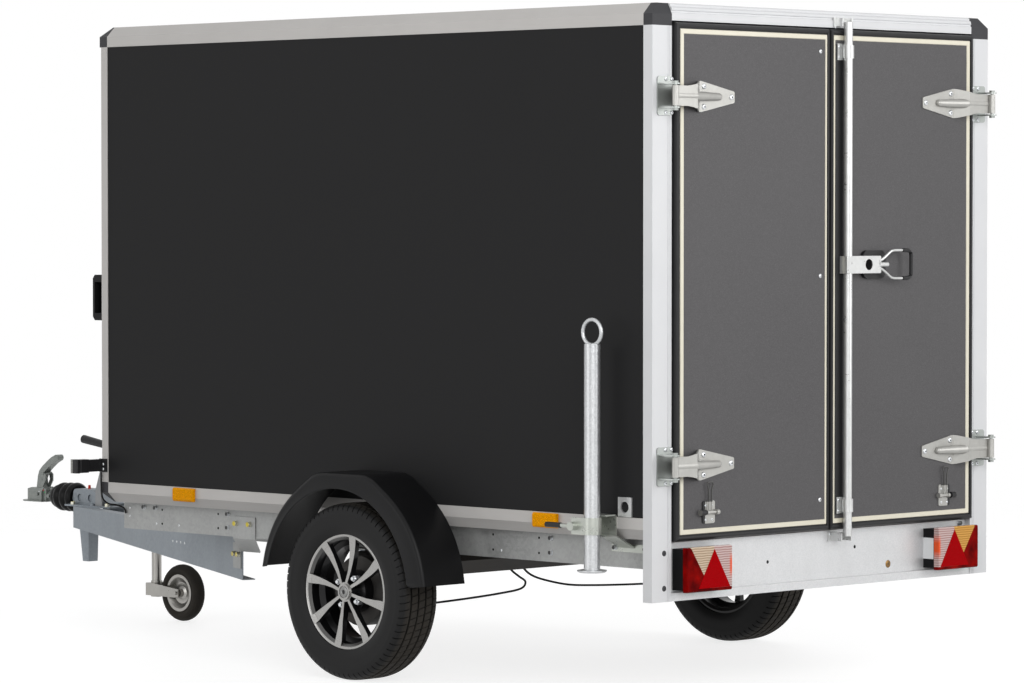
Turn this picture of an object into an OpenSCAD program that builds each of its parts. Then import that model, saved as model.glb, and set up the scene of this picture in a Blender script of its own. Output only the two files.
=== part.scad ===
// Single-axle box trailer with twin rear doors, an overrun drawbar and a nose wheel.
// +X is the direction of travel, +Y the left side, +Z up, and the ground is at z = 0.
// Everything is laid out from x = 0 at the rear face of the box body, and placed() then
// moves it so that the origin is under the middle of the whole trailer.

/* [Body] */
// Length of the box body, from the rear face to the front face
body_len = 2500; // [2300:10:2900]
// Width over the side rails
body_w = 1550; // [1400:10:1700]
// Height of the box body
body_h = 1570; // [1300:10:1900]
// Height of the body's underside above the ground
deck_z = 481; // [450:1:520]
// Thickness of the side and front panels
panel_t = 15; // [12:1:15]
// Thickness of the floor board
floor_t = 18; // [12:1:21]
// Thickness of the roof panel
roof_t = 24; // [18:1:26]
// Height of the edge rails
rail_h = 66; // [60:1:80]
// Width of the edge rails
rail_w = 60; // [55:1:80]
// Size of the 45 degree bevel on the edge rails
rail_bevel = 32; // [24:1:34]
// Depth of the rear corner posts, along the body
post_depth = 36; // [32:1:44]
// Width of the rear corner posts, across the body
post_w = 83; // [70:1:95]
// Length of the posts below the body
post_drop = 180; // [140:5:200]
// Length and width of the front corner posts
front_post = 38; // [34:1:50]

/* [Doors] */
// Gap between a door leaf and the frame round it
door_gap = 5; // [4:0.5:7]
// Gap between the two leaves
middle_gap = 7; // [6:0.5:10]
// Thickness of a door panel
door_t = 27; // [22:1:30]
// Distance of a door's outer face behind the body's rear face
door_proud = 12; // [8:1:14]
// Width of the rubber round a leaf
seal_w = 18; // [14:1:22]
// Width of the pale edging inside the rubber
trim_w = 15; // [10:1:18]
// Distance of the hinge pins behind the rear face
hinge_back = 52; // [50:1:60]
// Distance of the hinge pins in from the body's side
hinge_in = 43; // [36:1:43]
// Height of the hinge straps at the pin
hinge_h = 59; // [50:1:66]
// Length of a hinge strap from the pin to its tip
strap_len = 296; // [240:2:340]
// Thickness of the hinge sheet
hinge_t = 4; // [3:0.5:5]
// Radius of the hinge pins
pin_r = 5; // [4:0.5:6]
// Height of the lower hinges above the ground
hinge_low = 698; // [680:2:760]
// Height of the upper hinges above the ground
hinge_high = 1780; // [1500:5:1800]
// Diameter of the lock bar
bar_d = 27; // [22:1:30]
// Height of the lock handle above the ground
handle_z = 1281; // [1100:5:1400]

/* [Wheels] */
// Distance of the axle from the body's rear face
axle_x = 1146; // [1100:2:1250]
// Outer diameter of the road tyres
tyre_d = 547; // [530:1:570]
// Width of the road tyres
tyre_w = 155; // [135:1:160]
// Diameter of the rim's lip
rim_d = 357; // [340:1:370]
// Gap between a tyre and the body's side
tyre_gap = 10; // [8:1:20]
// Spokes in a rim
spokes = 8; // [6:1:10]
// Diameter of the circle of wheel bolts
bolt_circle = 100; // [98:1:112]
// Diameter of the brake drums
drum_d = 220; // [200:2:230]
// Sheet thickness of the mudguards
guard_t = 3; // [2:0.5:4]
// Radius of a mudguard's ends round the axle
guard_r = 370; // [360:1:390]
// Height of a mudguard's flat top above the axle
guard_up = 366; // [355:1:375]
// Half the length of a mudguard's flat top
guard_flat = 118; // [110:2:126]
// Height of a mudguard's front end above the ground
guard_front_z = 335; // [310:1:360]
// Height of a mudguard's rear end above the ground
guard_rear_z = 312; // [300:1:350]
// Radius of the wheel arch in a mudguard's skirt
guard_arch = 317; // [305:1:325]
// Radius of a mudguard's outer edge
guard_edge = 16; // [8:1:24]

/* [Chassis] */
// Distance of the chassis rails' outer faces in from the body's side
chassis_in = 80; // [70:1:110]
// Height of the chassis rails
chassis_h = 91; // [80:1:95]
// Flange width of the folded chassis profiles
flange = 45; // [40:1:60]
// Thickness of the folded chassis sheet
sheet_t = 3; // [2.5:0.5:5]
// Cross members between the chassis rails
cross_members = 4; // [3:1:6]
// Height of the cross members
cross_h = 60; // [50:1:75]

/* [Drawbar] */
// Distance of the drawbar beams' front ends ahead of the box body
beam_ahead_of_box = 1004; // [960:2:1060]
// Distance of their rear ends behind the body's front face
beam_under_box = 464; // [380:2:520]
// Half the distance between the beams' outer faces in front
beam_front_y = 70; // [64:1:80]
// Distance of their rear ends in from the chassis rails' outer faces
beam_rear_in = 135; // [115:1:180]
// Height of a beam at its front end
beam_front_h = 76; // [70:1:90]
// Height of a beam at its rear end
beam_rear_h = 149; // [120:1:165]
// Height of the overrun shaft's axis above the ground
shaft_z = 409; // [405:1:420]
// Diameter of the ball that the coupling takes
ball_d = 50; // [50:1:60]
// Distance of the coupling's centre ahead of the beams
coupling_reach = 297; // [280:1:320]

/* [Nose wheel] */
// Distance of the nose wheel's leg ahead of the box body
jack_ahead = 626; // [560:2:680]
// Diameter of the leg's outer tube
jack_tube_d = 48; // [44:1:60]
// Diameter of the leg
jack_leg_d = 35; // [30:1:36]
// Diameter of the nose wheel
jack_wheel_d = 200; // [180:2:220]
// Width of the nose wheel
jack_wheel_w = 50; // [40:1:60]
// Trail of the nose wheel behind its leg
jack_trail = 144; // [135:1:160]

/* [Prop stands] */
// Diameter of the prop stands
stand_d = 48; // [42:1:50]
// Distance of the prop stands from the body's rear face
stand_x = 169; // [160:1:260]
// Distance of the prop stands' axes outside the body's side
stand_out = 76; // [70:1:90]
// Height of a raised prop stand's foot above the ground
stand_foot_z = 396; // [380:2:430]
// Length of a prop stand without its ring
stand_len = 660; // [560:5:700]

/* [Lamps] */
// Width of a tail lamp
tail_w = 193; // [170:1:210]
// Height of a tail lamp
tail_h = 132; // [110:1:140]
// Depth of a tail lamp
tail_depth = 49; // [40:1:55]
// Width of a side marker
marker_w = 100; // [80:1:110]
// Distance of the side markers from the ends of the box body
marker_in = 428; // [400:2:500]

/* [Hidden] */
$fn = 48;

half_w = body_w / 2;
body_top = deck_z + body_h;
// The panels' seats in the edge rails
lip = 2;
seat_b = 36;
wall = 3;
rail_inner = lip + panel_t + wall;
floor_ledge = 20;
roof_ledge = 3;
floor_top = deck_z + floor_ledge + floor_t;
post_edge = 7;
// Rear opening
opening_y = half_w - post_w;
post_bottom = deck_z - post_drop;
cap_h = rail_h;
header_h = 51;
header_z = body_top - header_h;
sill_z = deck_z - 9;
// Door leaves
leaf_y = opening_y - door_gap;
leaf_y0 = middle_gap / 2;
leaf_z0 = sill_z + door_gap;
leaf_z1 = header_z - door_gap;
middle_seal_w = 12;
middle_trim_w = 7;
door_inner_x = door_t - door_proud;
trim_proud = 2;
seal_proud = 5;
// Hinges
pin_y = half_w - hinge_in;
barrel_r = 2 * pin_r;
ear_r = 14;
ear_t = 4;
pin_clear = 0.1;
strap_x0 = -hinge_back + barrel_r - hinge_t;
strap_flare = 91;
strap_tip = 34;
strap_fall = 40;
strap_bend = 142;
strap_rib = 222;
rib_r = 16;
rib_end_r = 11;
// Wheels
axle_z = tyre_d / 2;
wheel_y = half_w + tyre_gap + tyre_w / 2;
rim_half = tyre_w / 2 - 13.5;
bead_lip = 12;
bead_in = 7;
fit = 0.3;
stub_r = 18;
hub_bore = stub_r + 6;
// How far the drum's spigot stands past the rim's middle face
drum_spigot = 2;
spoke_bend = -4;
drum_out = 8;
drum_in = 50;
guard_arch_ahead = 19;
guard_y = wheel_y + tyre_w / 2 + 12.5;
// Axle tube, ahead of the wheels and above their centres
beam_ahead = 140;
beam_up = 56;
beam_af = 88;
// Chassis
chassis_y = half_w - chassis_in;
chassis_z = deck_z - chassis_h;
chassis_front = body_len - 24;
chassis_rear = post_depth;
// Drawbar beams, in their own length
beam_front_x = body_len + beam_ahead_of_box;
beam_rear_x = body_len - beam_under_box;
beam_rear_y = chassis_y - beam_rear_in;
beam_run = beam_front_x - beam_rear_x;
beam_spread = beam_rear_y - beam_front_y;
beam_len = norm([beam_run, beam_spread]);
beam_turn = 180 - atan2(beam_spread, beam_run);
beam_top = chassis_z - 7;
// Distance of a beam's outer face from the centre, at x
function beam_y(x) = beam_front_y + (beam_front_x - x) * beam_spread / beam_run;
// Brackets between the chassis rails and the beams
bracket_behind = 217;
bracket_w = 107;
coupling_x = beam_front_x + coupling_reach;
neck_x = coupling_x - 112;
bellows_r = 45;
ball_r = ball_d / 2 + 0.3;
head_t = 6;
head_lip = 17;
head_r = ball_r + head_t;
ball_z = shaft_z - 4;
head_z = ball_z - 18;
head_top = head_z + 50;
nose_x = coupling_x + head_r + head_lip;
rear_x = -(hinge_back + ear_r);
mid_x = (nose_x + rear_x) / 2;
plate_t = 6;
housing_ahead = 41;
housing_behind = 162;
housing_w = 72;
// Brake rod
rod_y = 44;
rod_z = 312;
// Nose wheel
jack_x = body_len + jack_ahead;
jack_stroke = 80;
spigot_r = 9;
jack_plate_z = beam_top - 45;
jack_plate_t = 6;
jack_tube_top = 690;
leg_clear = 0.3;
fork_z = jack_wheel_d / 2;
nose_rim_r = 62;
fork_top = fork_z + 34;
// Prop stands
stand_y = half_w + stand_out;
clamp_z0 = deck_z + 9;
clamp_h = 64;
clamp_w = 67;
ring_r = 37;
// Lamps
lamp_seat_x = 18;
marker_h = 44;
triangle = 138;
front_lamp_z = 602;
// Front grab handles
handle_low = 1082;
handle_len = 151;
handle_off = 34;
handle_foot = 24;
// Door hold-backs, and the half wire hook in y and z from its pin
hook_y = 546;
hook_z = 557;
hook_half = [[-6, 0], [-6, 30], [-6.5, 66], [-13, 80], [-10, 88], [0, 89]];
hook_route = concat(hook_half, [for (i = [4:-1:0]) [-hook_half[i][0], hook_half[i][1]]]);
// Lock gear
keeper_gap = 20;
cam_h = 10;
bar_y = -63;
bar_r = bar_d / 2;
handle_plate = 139;
handle_plate_h = 53;
// One leg of the wire loop and half its grip, in y and z from the bar's axis
loop_leg = [[130, 11], [145, 15], [168, 28], [190, 41], [216, 43], [247, 43]];
half_grip = [[243, 43], [270, 42], [283, 33], [284, 12]];
loop_grip = concat(half_grip, [for (i = [3:-1:0]) [half_grip[i][0], -half_grip[i][1]]]);
bar_x = -door_proud - hinge_t - bar_r - 1.5;

// ---------------------------------------------------------------- helpers

// Moves a piece from the body's rear face to the part's origin
module placed() translate([-mid_x, 0, 0]) children();

// A block between two limits along each axis
module block(x, y, z) translate([x[0], y[0], z[0]]) cube([x[1] - x[0], y[1] - y[0], z[1] - z[0]]);

// A piece on the left side and its mirror image on the right
module both_sides() {
    children();
    mirror([0, 1, 0]) children();
}

// An outline in x and z, given a width across the body
module across(y0, w) translate([0, y0 + w, 0]) rotate([90, 0, 0]) linear_extrude(w) children();

// An outline in y and z, given a length along the body
module along(x0, w) translate([x0, 0, 0]) rotate([90, 0, 90]) linear_extrude(w) children();

// A round bar along the body, across it, or between two heights
module bar_x(x, y, z, r) translate([x[0], y, z]) rotate([0, 90, 0]) cylinder(h = x[1] - x[0], r = r);
module bar_y(x, y, z, r) translate([x, y[0], z]) rotate([-90, 0, 0]) cylinder(h = y[1] - y[0], r = r);
module bar_z(x, y, z, r) translate([x, y, z[0]]) cylinder(h = z[1] - z[0], r = r);

// A plate between two corners, with its own corners rounded
module rounded(a, b, r) {
    translate([a[0] + r, a[1]]) square([b[0] - a[0] - 2 * r, b[1] - a[1]]);
    translate([a[0], a[1] + r]) square([b[0] - a[0], b[1] - a[1] - 2 * r]);
    for (x = [a[0] + r, b[0] - r]) for (y = [a[1] + r, b[1] - r]) translate([x, y]) circle(r);
}

// A skin through m closed sections of n points, each turning right-handed about the way along
function skin(m, n, last) = [for (i = [0:last]) for (k = [0:n - 1])
    let (a = i * n, b = (k + 1) % n, c = (i + 1) % m * n)
    each [[a + k, c + b, a + b], [a + k, c + k, c + b]]];
module loft(sections) {
    m = len(sections);
    n = len(sections[0]);
    first = [for (k = [0:n - 1]) k];
    last = [for (k = [n - 1:-1:0]) (m - 1) * n + k];
    polyhedron([for (q = sections) each q], concat(skin(m, n, m - 2), [first, last]));
}

// Unit vector from one point to another, and the same turned a quarter to the left
function heading(a, b) = (b - a) / norm(b - a);
function left_of(v) = [-v[1], v[0]];

// Corner i of a folded line, moved sideways by d along the mitre
function mitre(p, i, d) =
    let (n = len(p) - 1)
    let (a = left_of(heading(p[max(i - 1, 0)], p[max(i, 1)])))
    let (b = left_of(heading(p[min(i, n - 1)], p[min(i + 1, n)])))
    p[i] + (a + b) * d / (1 + a * b);

// Section of a folded sheet: the line of one face, and the other face a thickness to its left
module folded(path, t) {
    back = [for (i = [len(path) - 1:-1:0]) mitre(path, i, t)];
    polygon(concat(path, back));
}

// A tube of radius r with n sides, swept along a list of points
function side_dir(t) = abs(t[2]) < 0.9 ? cross(t, [0, 0, 1]) : cross(t, [1, 0, 0]);
function tangent(p, i) = p[min(i + 1, len(p) - 1)] - p[max(i - 1, 0)];
function ring(p, i, r, n) =
    let (t = tangent(p, i) / norm(tangent(p, i)))
    let (u = side_dir(t) / norm(side_dir(t)))
    let (v = cross(t, u))
    [for (k = [0:n - 1]) p[i] + r * (cos(360 * k / n) * u + sin(360 * k / n) * v)];

module swept(p, r, n) loft([for (i = [0:len(p) - 1]) ring(p, i, r, n)]);

// Points on a smooth curve through the route's points (Catmull-Rom, s steps a span)
function curve_at(a, b, c, d, t) =
    0.5 * (2 * b + (c - a) * t + (2 * a - 5 * b + 4 * c - d) * t * t + (3 * b - a - 3 * c + d) * t * t * t);
function smooth(p, s) =
    let (n = len(p) - 1)
    concat([for (i = [0:n - 1]) for (k = [0:s - 1])
        curve_at(p[max(i - 1, 0)], p[i], p[i + 1], p[min(i + 2, n)], k / s)], [p[n]]);

// ---------------------------------------------------------------- box body

// Sections of the lower and the upper edge rail, from the outer face in and from the edge up:
// a bevelled outer corner, a seat for the wall panel, and a ledge for the floor or the roof
module lower_rail_outline() {
    polygon([
        [0, rail_h], [0, rail_bevel], [rail_bevel, 0], [rail_w, 0], [rail_w, floor_ledge],
        [rail_inner, floor_ledge], [rail_inner, rail_h], [lip + panel_t, rail_h],
        [lip + panel_t, seat_b], [lip, seat_b], [lip, rail_h]
    ]);
}

module upper_rail_outline() {
    polygon([
        [0, rail_h], [0, rail_bevel], [rail_bevel, 0], [rail_w, 0], [rail_w, roof_ledge],
        [front_post, roof_ledge], [front_post, roof_ledge + roof_t],
        [rail_inner, roof_ledge + roof_t],
        [rail_inner, rail_h], [lip + panel_t, rail_h], [lip + panel_t, seat_b], [lip, seat_b],
        [lip, rail_h]
    ]);
}

// The rails' outlines, placed on the left side in y and z
module lower_left() translate([half_w, deck_z]) mirror([1, 0]) lower_rail_outline();
module upper_left() translate([half_w, body_top]) rotate(180) upper_rail_outline();

// The side rails' inner flanges stop where the front rails cross them
module side_rails() color("silver") placed() both_sides() difference() {
    along(post_depth, body_len - post_depth - front_post) {
        lower_left();
        upper_left();
    }
    block([body_len - rail_w, body_len], [half_w - rail_w - 1, half_w - front_post],
        [deck_z - 1, body_top + 1]);
}

// Floor board, notched round the corner posts, with a tongue out to the doors
module cargo_floor() color("saddlebrown") placed() both_sides()
    translate([0, 0, deck_z + floor_ledge]) linear_extrude(floor_t) polygon([
        [door_inner_x + door_gap, 0], [door_inner_x + door_gap, opening_y],
        [post_depth, opening_y], [post_depth, half_w - rail_inner],
        [body_len - front_post, half_w - rail_inner], [body_len - front_post, half_w - front_post],
        [body_len - rail_inner, half_w - front_post], [body_len - rail_inner, 0]
    ]);

module side_panels() color("#28282a") placed() both_sides()
    block([post_depth, body_len - front_post],
        [half_w - lip - panel_t, half_w - lip], [deck_z + seat_b, body_top - seat_b]);

module front_panel() color("#28282a") placed()
    block([body_len - lip - panel_t, body_len - lip],
        [-(half_w - front_post), half_w - front_post], [deck_z + seat_b, body_top - seat_b]);

module roof_panel() color("whitesmoke") placed()
    block([post_depth, body_len - front_post], [-(half_w - front_post), half_w - front_post],
        [body_top - roof_ledge - roof_t, body_top - roof_ledge]);

// Front posts, and rails between them with the side rails' section turned to face forward
module front_post_section() difference() {
    polygon([[0, -post_edge], [-post_edge, 0], [-front_post, 0], [-front_post, -front_post],
        [0, -front_post]]);
    polygon([[-wall, -post_edge - 1], [-post_edge - 1, -wall], [wall - front_post, -wall],
        [wall - front_post, wall - front_post], [-wall, wall - front_post]]);
}

module front_frame() color("silver") placed() {
    both_sides() translate([body_len, half_w, deck_z + cap_h])
        linear_extrude(body_h - 2 * cap_h) front_post_section();
    across(-(half_w - front_post), body_w - 2 * front_post) {
        translate([body_len, deck_z]) mirror([1, 0]) lower_rail_outline();
        translate([body_len, body_top]) rotate(180) upper_rail_outline();
    }
}

// A corner cap: a block with its top edges bevelled like the rails it ends
module cap(x, y) {
    hull() {
        block(x, y, [0, cap_h - rail_bevel]);
        block([x[0] + (x[0] == 0 ? rail_bevel / 2 : 0), x[1] - (x[0] == 0 ? 0 : rail_bevel)],
            [y[0], y[1] - rail_bevel], [cap_h - 1, cap_h]);
    }
}

module corner_caps() color("#3c3c40") placed() both_sides() {
    translate([0, 0, body_top - cap_h]) cap([0, post_depth], [opening_y, half_w]);
    translate([0, 0, body_top - cap_h])
        cap([body_len - front_post, body_len], [half_w - front_post, half_w]);
    translate([0, 0, deck_z + cap_h]) mirror([0, 0, 1])
        cap([body_len - front_post, body_len], [half_w - front_post, half_w]);
}

// Section of a rear post, hollow, with two shallow grooves down its rear face
module post_section() {
    difference() {
        translate([0, opening_y]) square([post_depth, post_w]);
        translate([wall, opening_y + wall]) square([post_depth - 2 * wall, post_w - 2 * wall]);
        for (g = [10, 16]) translate([-0.01, opening_y + g]) square([1, 2]);
    }
}

// Section of the header over the doors: a flat face, a groove and two ribs under the bevel
module header_section() {
    rib = 7;
    difference() {
        union() {
            polygon([
                [0, header_z], [0, header_z + 22], [3, header_z + 24], [3, header_z + 28],
                [0, header_z + 30], [rail_bevel / 2, body_top], [post_depth, body_top],
                [post_depth, header_z]
            ]);
            translate([rib + 1, header_z + 34]) circle(rib);
            translate([rib + 8, body_top - rib]) circle(rib);
        }
        translate([rib + 6, header_z + wall]) square([post_depth - rib - 9, header_h - 30]);
    }
}

module rear_frame() color("white") placed() {
    both_sides() translate([0, 0, post_bottom])
        linear_extrude(body_top - cap_h - post_bottom) post_section();
    across(-opening_y, 2 * opening_y) header_section();
}

// Folded rear crossmember: set back behind the lamps, with a lip along its foot
module rear_crossmember() color("gainsboro") placed() {
    web_x = 18;
    lip_h = 24;
    across(-opening_y, 2 * opening_y) folded([
        [post_depth, sill_z], [web_x, sill_z],
        [web_x, post_bottom + lip_h], [2, post_bottom + lip_h], [2, post_bottom],
        [14, post_bottom]
    ], sheet_t);
}

// ---------------------------------------------------------------- chassis

// Folded chassis rails, each with a plate across its front end
module chassis_rails() color("lightslategray") placed() both_sides() {
    block([chassis_front - sheet_t, chassis_front], [chassis_y - flange, chassis_y],
        [chassis_z, deck_z]);
    along(chassis_rear, chassis_front - chassis_rear) folded([
        [chassis_y - flange, chassis_z + 14], [chassis_y - flange, chassis_z],
        [chassis_y, chassis_z], [chassis_y, deck_z], [chassis_y - flange, deck_z],
        [chassis_y - flange, deck_z - 14]
    ], sheet_t);
}

module chassis_crossbars() color("lightslategray") placed() {
    reach = chassis_y - flange;
    first = 300;
    pitch = (chassis_front - first - cross_h) / (cross_members - 1);
    for (i = [0:cross_members - 1])
        across(-reach, 2 * reach) translate([first + i * pitch, deck_z - cross_h]) folded([
            [cross_h / 2, 0], [0, 0], [0, cross_h], [cross_h / 2, cross_h]
        ], -sheet_t);
}

// The frame of a left drawbar beam: x runs back along it, y inward, z up
module on_beam() translate([beam_front_x, beam_front_y, 0]) rotate([0, 0, beam_turn]) children();

// A beam's depth below its top, at a distance u from the front
function beam_depth(u) = beam_front_h + (beam_rear_h - beam_front_h) * u / beam_len;

module drawbar_beams() color("slategray") placed() both_sides() on_beam() {
    low = beam_top - beam_front_h;
    end = beam_top - beam_rear_h;
    across(0, sheet_t)
        polygon([[0, low], [beam_len, end], [beam_len, beam_top], [0, beam_top]]);
    across(0, flange) polygon([
        [0, beam_top - sheet_t], [beam_len, beam_top - sheet_t], [beam_len, beam_top], [0, beam_top]
    ]);
    across(0, flange)
        polygon([[0, low], [beam_len, end], [beam_len, end + sheet_t], [0, low + sheet_t]]);
}

// Brackets from the chassis rails' faces, sloping down and in to the beams' rear ends
module drawbar_brackets() color("silver") placed() both_sides() {
    x0 = beam_rear_x - bracket_behind;
    x1 = x0 + bracket_w;
    drop = 54;
    reach = chassis_y - beam_rear_y - 8;
    slope = atan2(drop, reach);
    block([x0, x1], [chassis_y, chassis_y + 4], [chassis_z - 4, deck_z - 24]);
    translate([0, chassis_y + 2, chassis_z - 6]) rotate([slope, 0, 0]) mirror([0, 1, 0])
        linear_extrude(4) polygon([[x0, -2], [x1, -2], [x1 + 110, reach + 12], [x0 + 120, reach + 12]]);
    on_beam() block([beam_len - 70, beam_len - 8], [-4, 0], [beam_top - 112, beam_top - 28]);
}

// ---------------------------------------------------------------- axle and brakes

module axle_beam() color("dimgray") placed() {
    beam_x = axle_x + beam_ahead;
    beam_z = axle_z + beam_up;
    arm_y = chassis_y + 14;
    arm_t = 22;
    lean = atan2(beam_up, beam_ahead);
    translate([beam_x, arm_y, beam_z]) rotate([90, 0, 0])
        cylinder(h = 2 * arm_y, r = beam_af / sqrt(3), $fn = 6);
    both_sides() {
        bar_y(beam_x, [arm_y - 2, arm_y + arm_t], beam_z, beam_af / 2 + 8);
        bar_y(axle_x, [arm_y, arm_y + arm_t], axle_z, 34);
        translate([axle_x, arm_y + 2, axle_z]) rotate([0, -lean, 0]) translate([10, 0, -29])
            cube([norm([beam_ahead, beam_up]) - 20, arm_t - 4, 58]);
        // stub axle and brake backplate
        bar_y(axle_x, [arm_y + arm_t, wheel_y + 20], axle_z, stub_r);
        bar_y(axle_x, [half_w + tyre_gap - 2, half_w + tyre_gap + 4], axle_z, drum_d / 2);
        // hanger up to the chassis rail
        block([beam_x - 60, beam_x + 60], [chassis_y - flange, chassis_y - flange + 8],
            [beam_z - 24, chassis_z]);
        block([beam_x - 60, beam_x + 60], [chassis_y - flange, chassis_y],
            [chassis_z - 6, chassis_z]);
    }
}

// Brake rod from the overrun housing to the balance bar on the axle
module brake_linkage() color("silver") placed() {
    bar_at = axle_x + beam_ahead + 60;
    bar_x([bar_at + 20, beam_front_x - 150], rod_y, rod_z, 5);
    block([bar_at + 8, bar_at + 20], [-60, 60], [rod_z - 12, rod_z + 12]);
    block([beam_front_x - 162, beam_front_x - 150], [rod_y - 8, rod_y + 8], [rod_z - 12, beam_top]);
}

// Route of the left brake cable, from the balance bar to the drum's backplate
cable_route = [
    [1353.7, 30, 312], [1345, 30, 311], [1322, 30, 280], [1286, 30, 260], [1240, 46, 246],
    [1198, 110, 230], [1186, 220, 222], [1180, 360, 216], [1176, 500, 212], [1172, 620, 210],
    [1168, 690, 211], [1164, 735, 216], [1161, 765, 226], [1160, 776, 228], [1160, 782.7, 228]
];
// Route of the left front lamp's lead, down the corner to the chassis rail, from the lower
// front corner of the box
lead_corner = [body_len, half_w, deck_z];
lead_route = [
    [-6, 4, 98.5], [-8, 5.5, 70], [-10, 6, 43], [-12, 2, 11], [-16, -19, -7], [-22, -49, -13],
    [-30, -73, -23], [-38, -76, -41]
];

module brake_cables() color("#141414") placed() both_sides() swept(smooth(cable_route, 3), 3.5, 8);

module lamp_leads() color("#141414") placed() both_sides() translate(lead_corner)
    swept(smooth(lead_route, 3), 3, 8);

// ---------------------------------------------------------------- overrun and coupling

module overrun_housing() color("darkgray") placed() {
    back = beam_front_x - housing_behind;
    front = beam_front_x + housing_ahead;
    foot = beam_top + plate_t;
    top = shaft_z + 35;
    block([back - 40, front + 8], [-beam_front_y, beam_front_y], [beam_top, foot]);
    difference() {
        across(-housing_w / 2, housing_w) polygon(concat(
            [[back, foot - 1], [front, foot - 1]],
            [for (a = [0:15:90]) [front - 16 + 16 * cos(a), top - 16 + 16 * sin(a)]],
            [[front - 100, top], [front - 118, top - 8], [back, foot + 8]]));
        both_sides() for (u = [37, 95])
            bar_y(front - u, [housing_w / 2 - 5, housing_w / 2 + 1], shaft_z + 4, 13);
    }
    bar_x([front - 2, front + 8], 0, shaft_z, 33);
    // bolt bosses on the base plate
    both_sides() for (u = [18, 128])
        bar_z(front - u, beam_front_y - 18, [foot - 1, foot + 7], 9);
}

// Rubber bellows between the housing and the head: three lobes and a narrow neck
module overrun_bellows() color("#161616") placed() {
    x0 = beam_front_x + housing_ahead + 8;
    long = neck_x - x0;
    lobes = 4;
    steps = 12 * lobes;
    translate([x0, 0, shaft_z]) rotate([0, 90, 0]) rotate_extrude() polygon(concat(
        [[0, 0]],
        [for (i = [0:steps]) let (f = i / steps) [
            (f < 0.72 ? bellows_r : bellows_r - (f - 0.72) * 62)
            + 9 * (1 - 0.5 * f) * abs(sin(180 * lobes * f)), long * f
        ]],
        [[0, long]]));
}

// Pressed ball coupling, seen from above: round in front of the ball, tapered back to the neck
module head_plan(grow) {
    translate([coupling_x, 0]) circle(head_r + grow);
    polygon([
        [neck_x + 24, -25 - grow], [coupling_x, -head_r - grow], [coupling_x, head_r + grow],
        [neck_x + 24, 25 + grow]
    ]);
}

// Its section across, with bevelled upper edges, and its outline from the side
module head_section(grow) polygon([
    [-head_r - grow, head_z], [head_r + grow, head_z], [head_r + grow, head_top - 13],
    [head_r - 10, head_top + grow], [10 - head_r, head_top + grow], [-head_r - grow, head_top - 13]
]);
module head_outline() polygon([
    [neck_x + 24, head_z], [coupling_x + head_r, head_z], [coupling_x + head_r, head_z + 22],
    [coupling_x + head_r - 4, head_top - 14], [coupling_x + head_r - 14, head_top - 5],
    [coupling_x + head_r - 30, head_top], [neck_x + 36, head_top], [neck_x + 24, head_top - 6]
]);

// The head: three outlines intersected, a lip round the foot, a hollow for the ball and a neck
module coupling_head() color("slategray") placed() {
    difference() {
        union() {
            intersection() {
                across(-60, 120) head_outline();
                translate([0, 0, head_z]) linear_extrude(60) head_plan(0);
                along(neck_x, 200) head_section(0);
            }
            translate([0, 0, head_z]) linear_extrude(4) intersection() {
                head_plan(head_lip);
                translate([neck_x + 30, -60]) square([200, 120]);
            }
            // clamp band and pivot bolt
            along(neck_x + 40, 12) head_section(3);
            bar_y(neck_x + 66, [-head_r - 5, head_r + 5], head_top - 22, 6);
        }
        translate([coupling_x, 0, ball_z]) sphere(r = ball_r);
        translate([coupling_x, 0, ball_z - 30]) cylinder(h = 30, r = ball_r);
        block([neck_x + 60, coupling_x - 10], [-17, 17], [ball_z - 30, ball_z + 14]);
    }
    bar_x([neck_x, neck_x + 30], 0, shaft_z, 21);
    bar_y(neck_x + 12, [-28, 28], shaft_z, 7);
}

module coupling_handle() color("gray") placed() {
    x = coupling_x - 38;
    z = head_top;
    grip = [x - 92, z + 112];
    across(-14, 28) {
        polygon([
            [x + 18, z], [x + 11, z + 42], [x + 3, z + 62], [x - 14, z + 78], [x - 42, z + 98],
            [x - 66, z + 113], [x - 86, z + 121], [x - 97, z + 103], [x - 70, z + 90],
            [x - 44, z + 72], [x - 22, z + 54], [x - 12, z + 34], [x - 16, z]
        ]);
        translate(grip) circle(11);
    }
    // links down to the head
    both_sides() across(15, 4) polygon([
        [x - 20, z], [x - 4, z], [x - 22, z + 30], [x - 18, z + 50], [x - 26, z + 58],
        [x - 38, z + 50], [x - 38, z + 26]
    ]);
    bar_y(x - 25, [-21, 21], z + 51, 5);
}

// Handbrake lever beside the housing, with a round grip over the drawbar
module handbrake_lever() color("#202022") placed() {
    foot_x = beam_front_x - 120;
    side = 44;
    across(side, 8) polygon([
        [foot_x - 20, beam_top + plate_t], [foot_x + 20, beam_top + plate_t],
        [foot_x + 16, shaft_z + 40], [foot_x - 40, shaft_z + 190],
        [foot_x - 60, shaft_z + 186], [foot_x - 10, shaft_z + 36]
    ]);
    translate([foot_x - 62, side + 4, shaft_z + 196]) rotate([0, 82, 0])
        cylinder(h = 150, r1 = 13, r2 = 15);
}

module drawbar_foot() color("dimgray") placed() {
    back = beam_front_x - 31;
    top = beam_top;
    low = 183;
    difference() {
        hull() {
            block([back, back + 61], [-25, 25], [top - 1, top]);
            block([back + 4, back + 37], [-21, 21], [low, low + 1]);
        }
        block([back + 4, back + 70], [-19, 19], [low - 1, top - 8]);
    }
}

// ---------------------------------------------------------------- nose wheel

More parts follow.
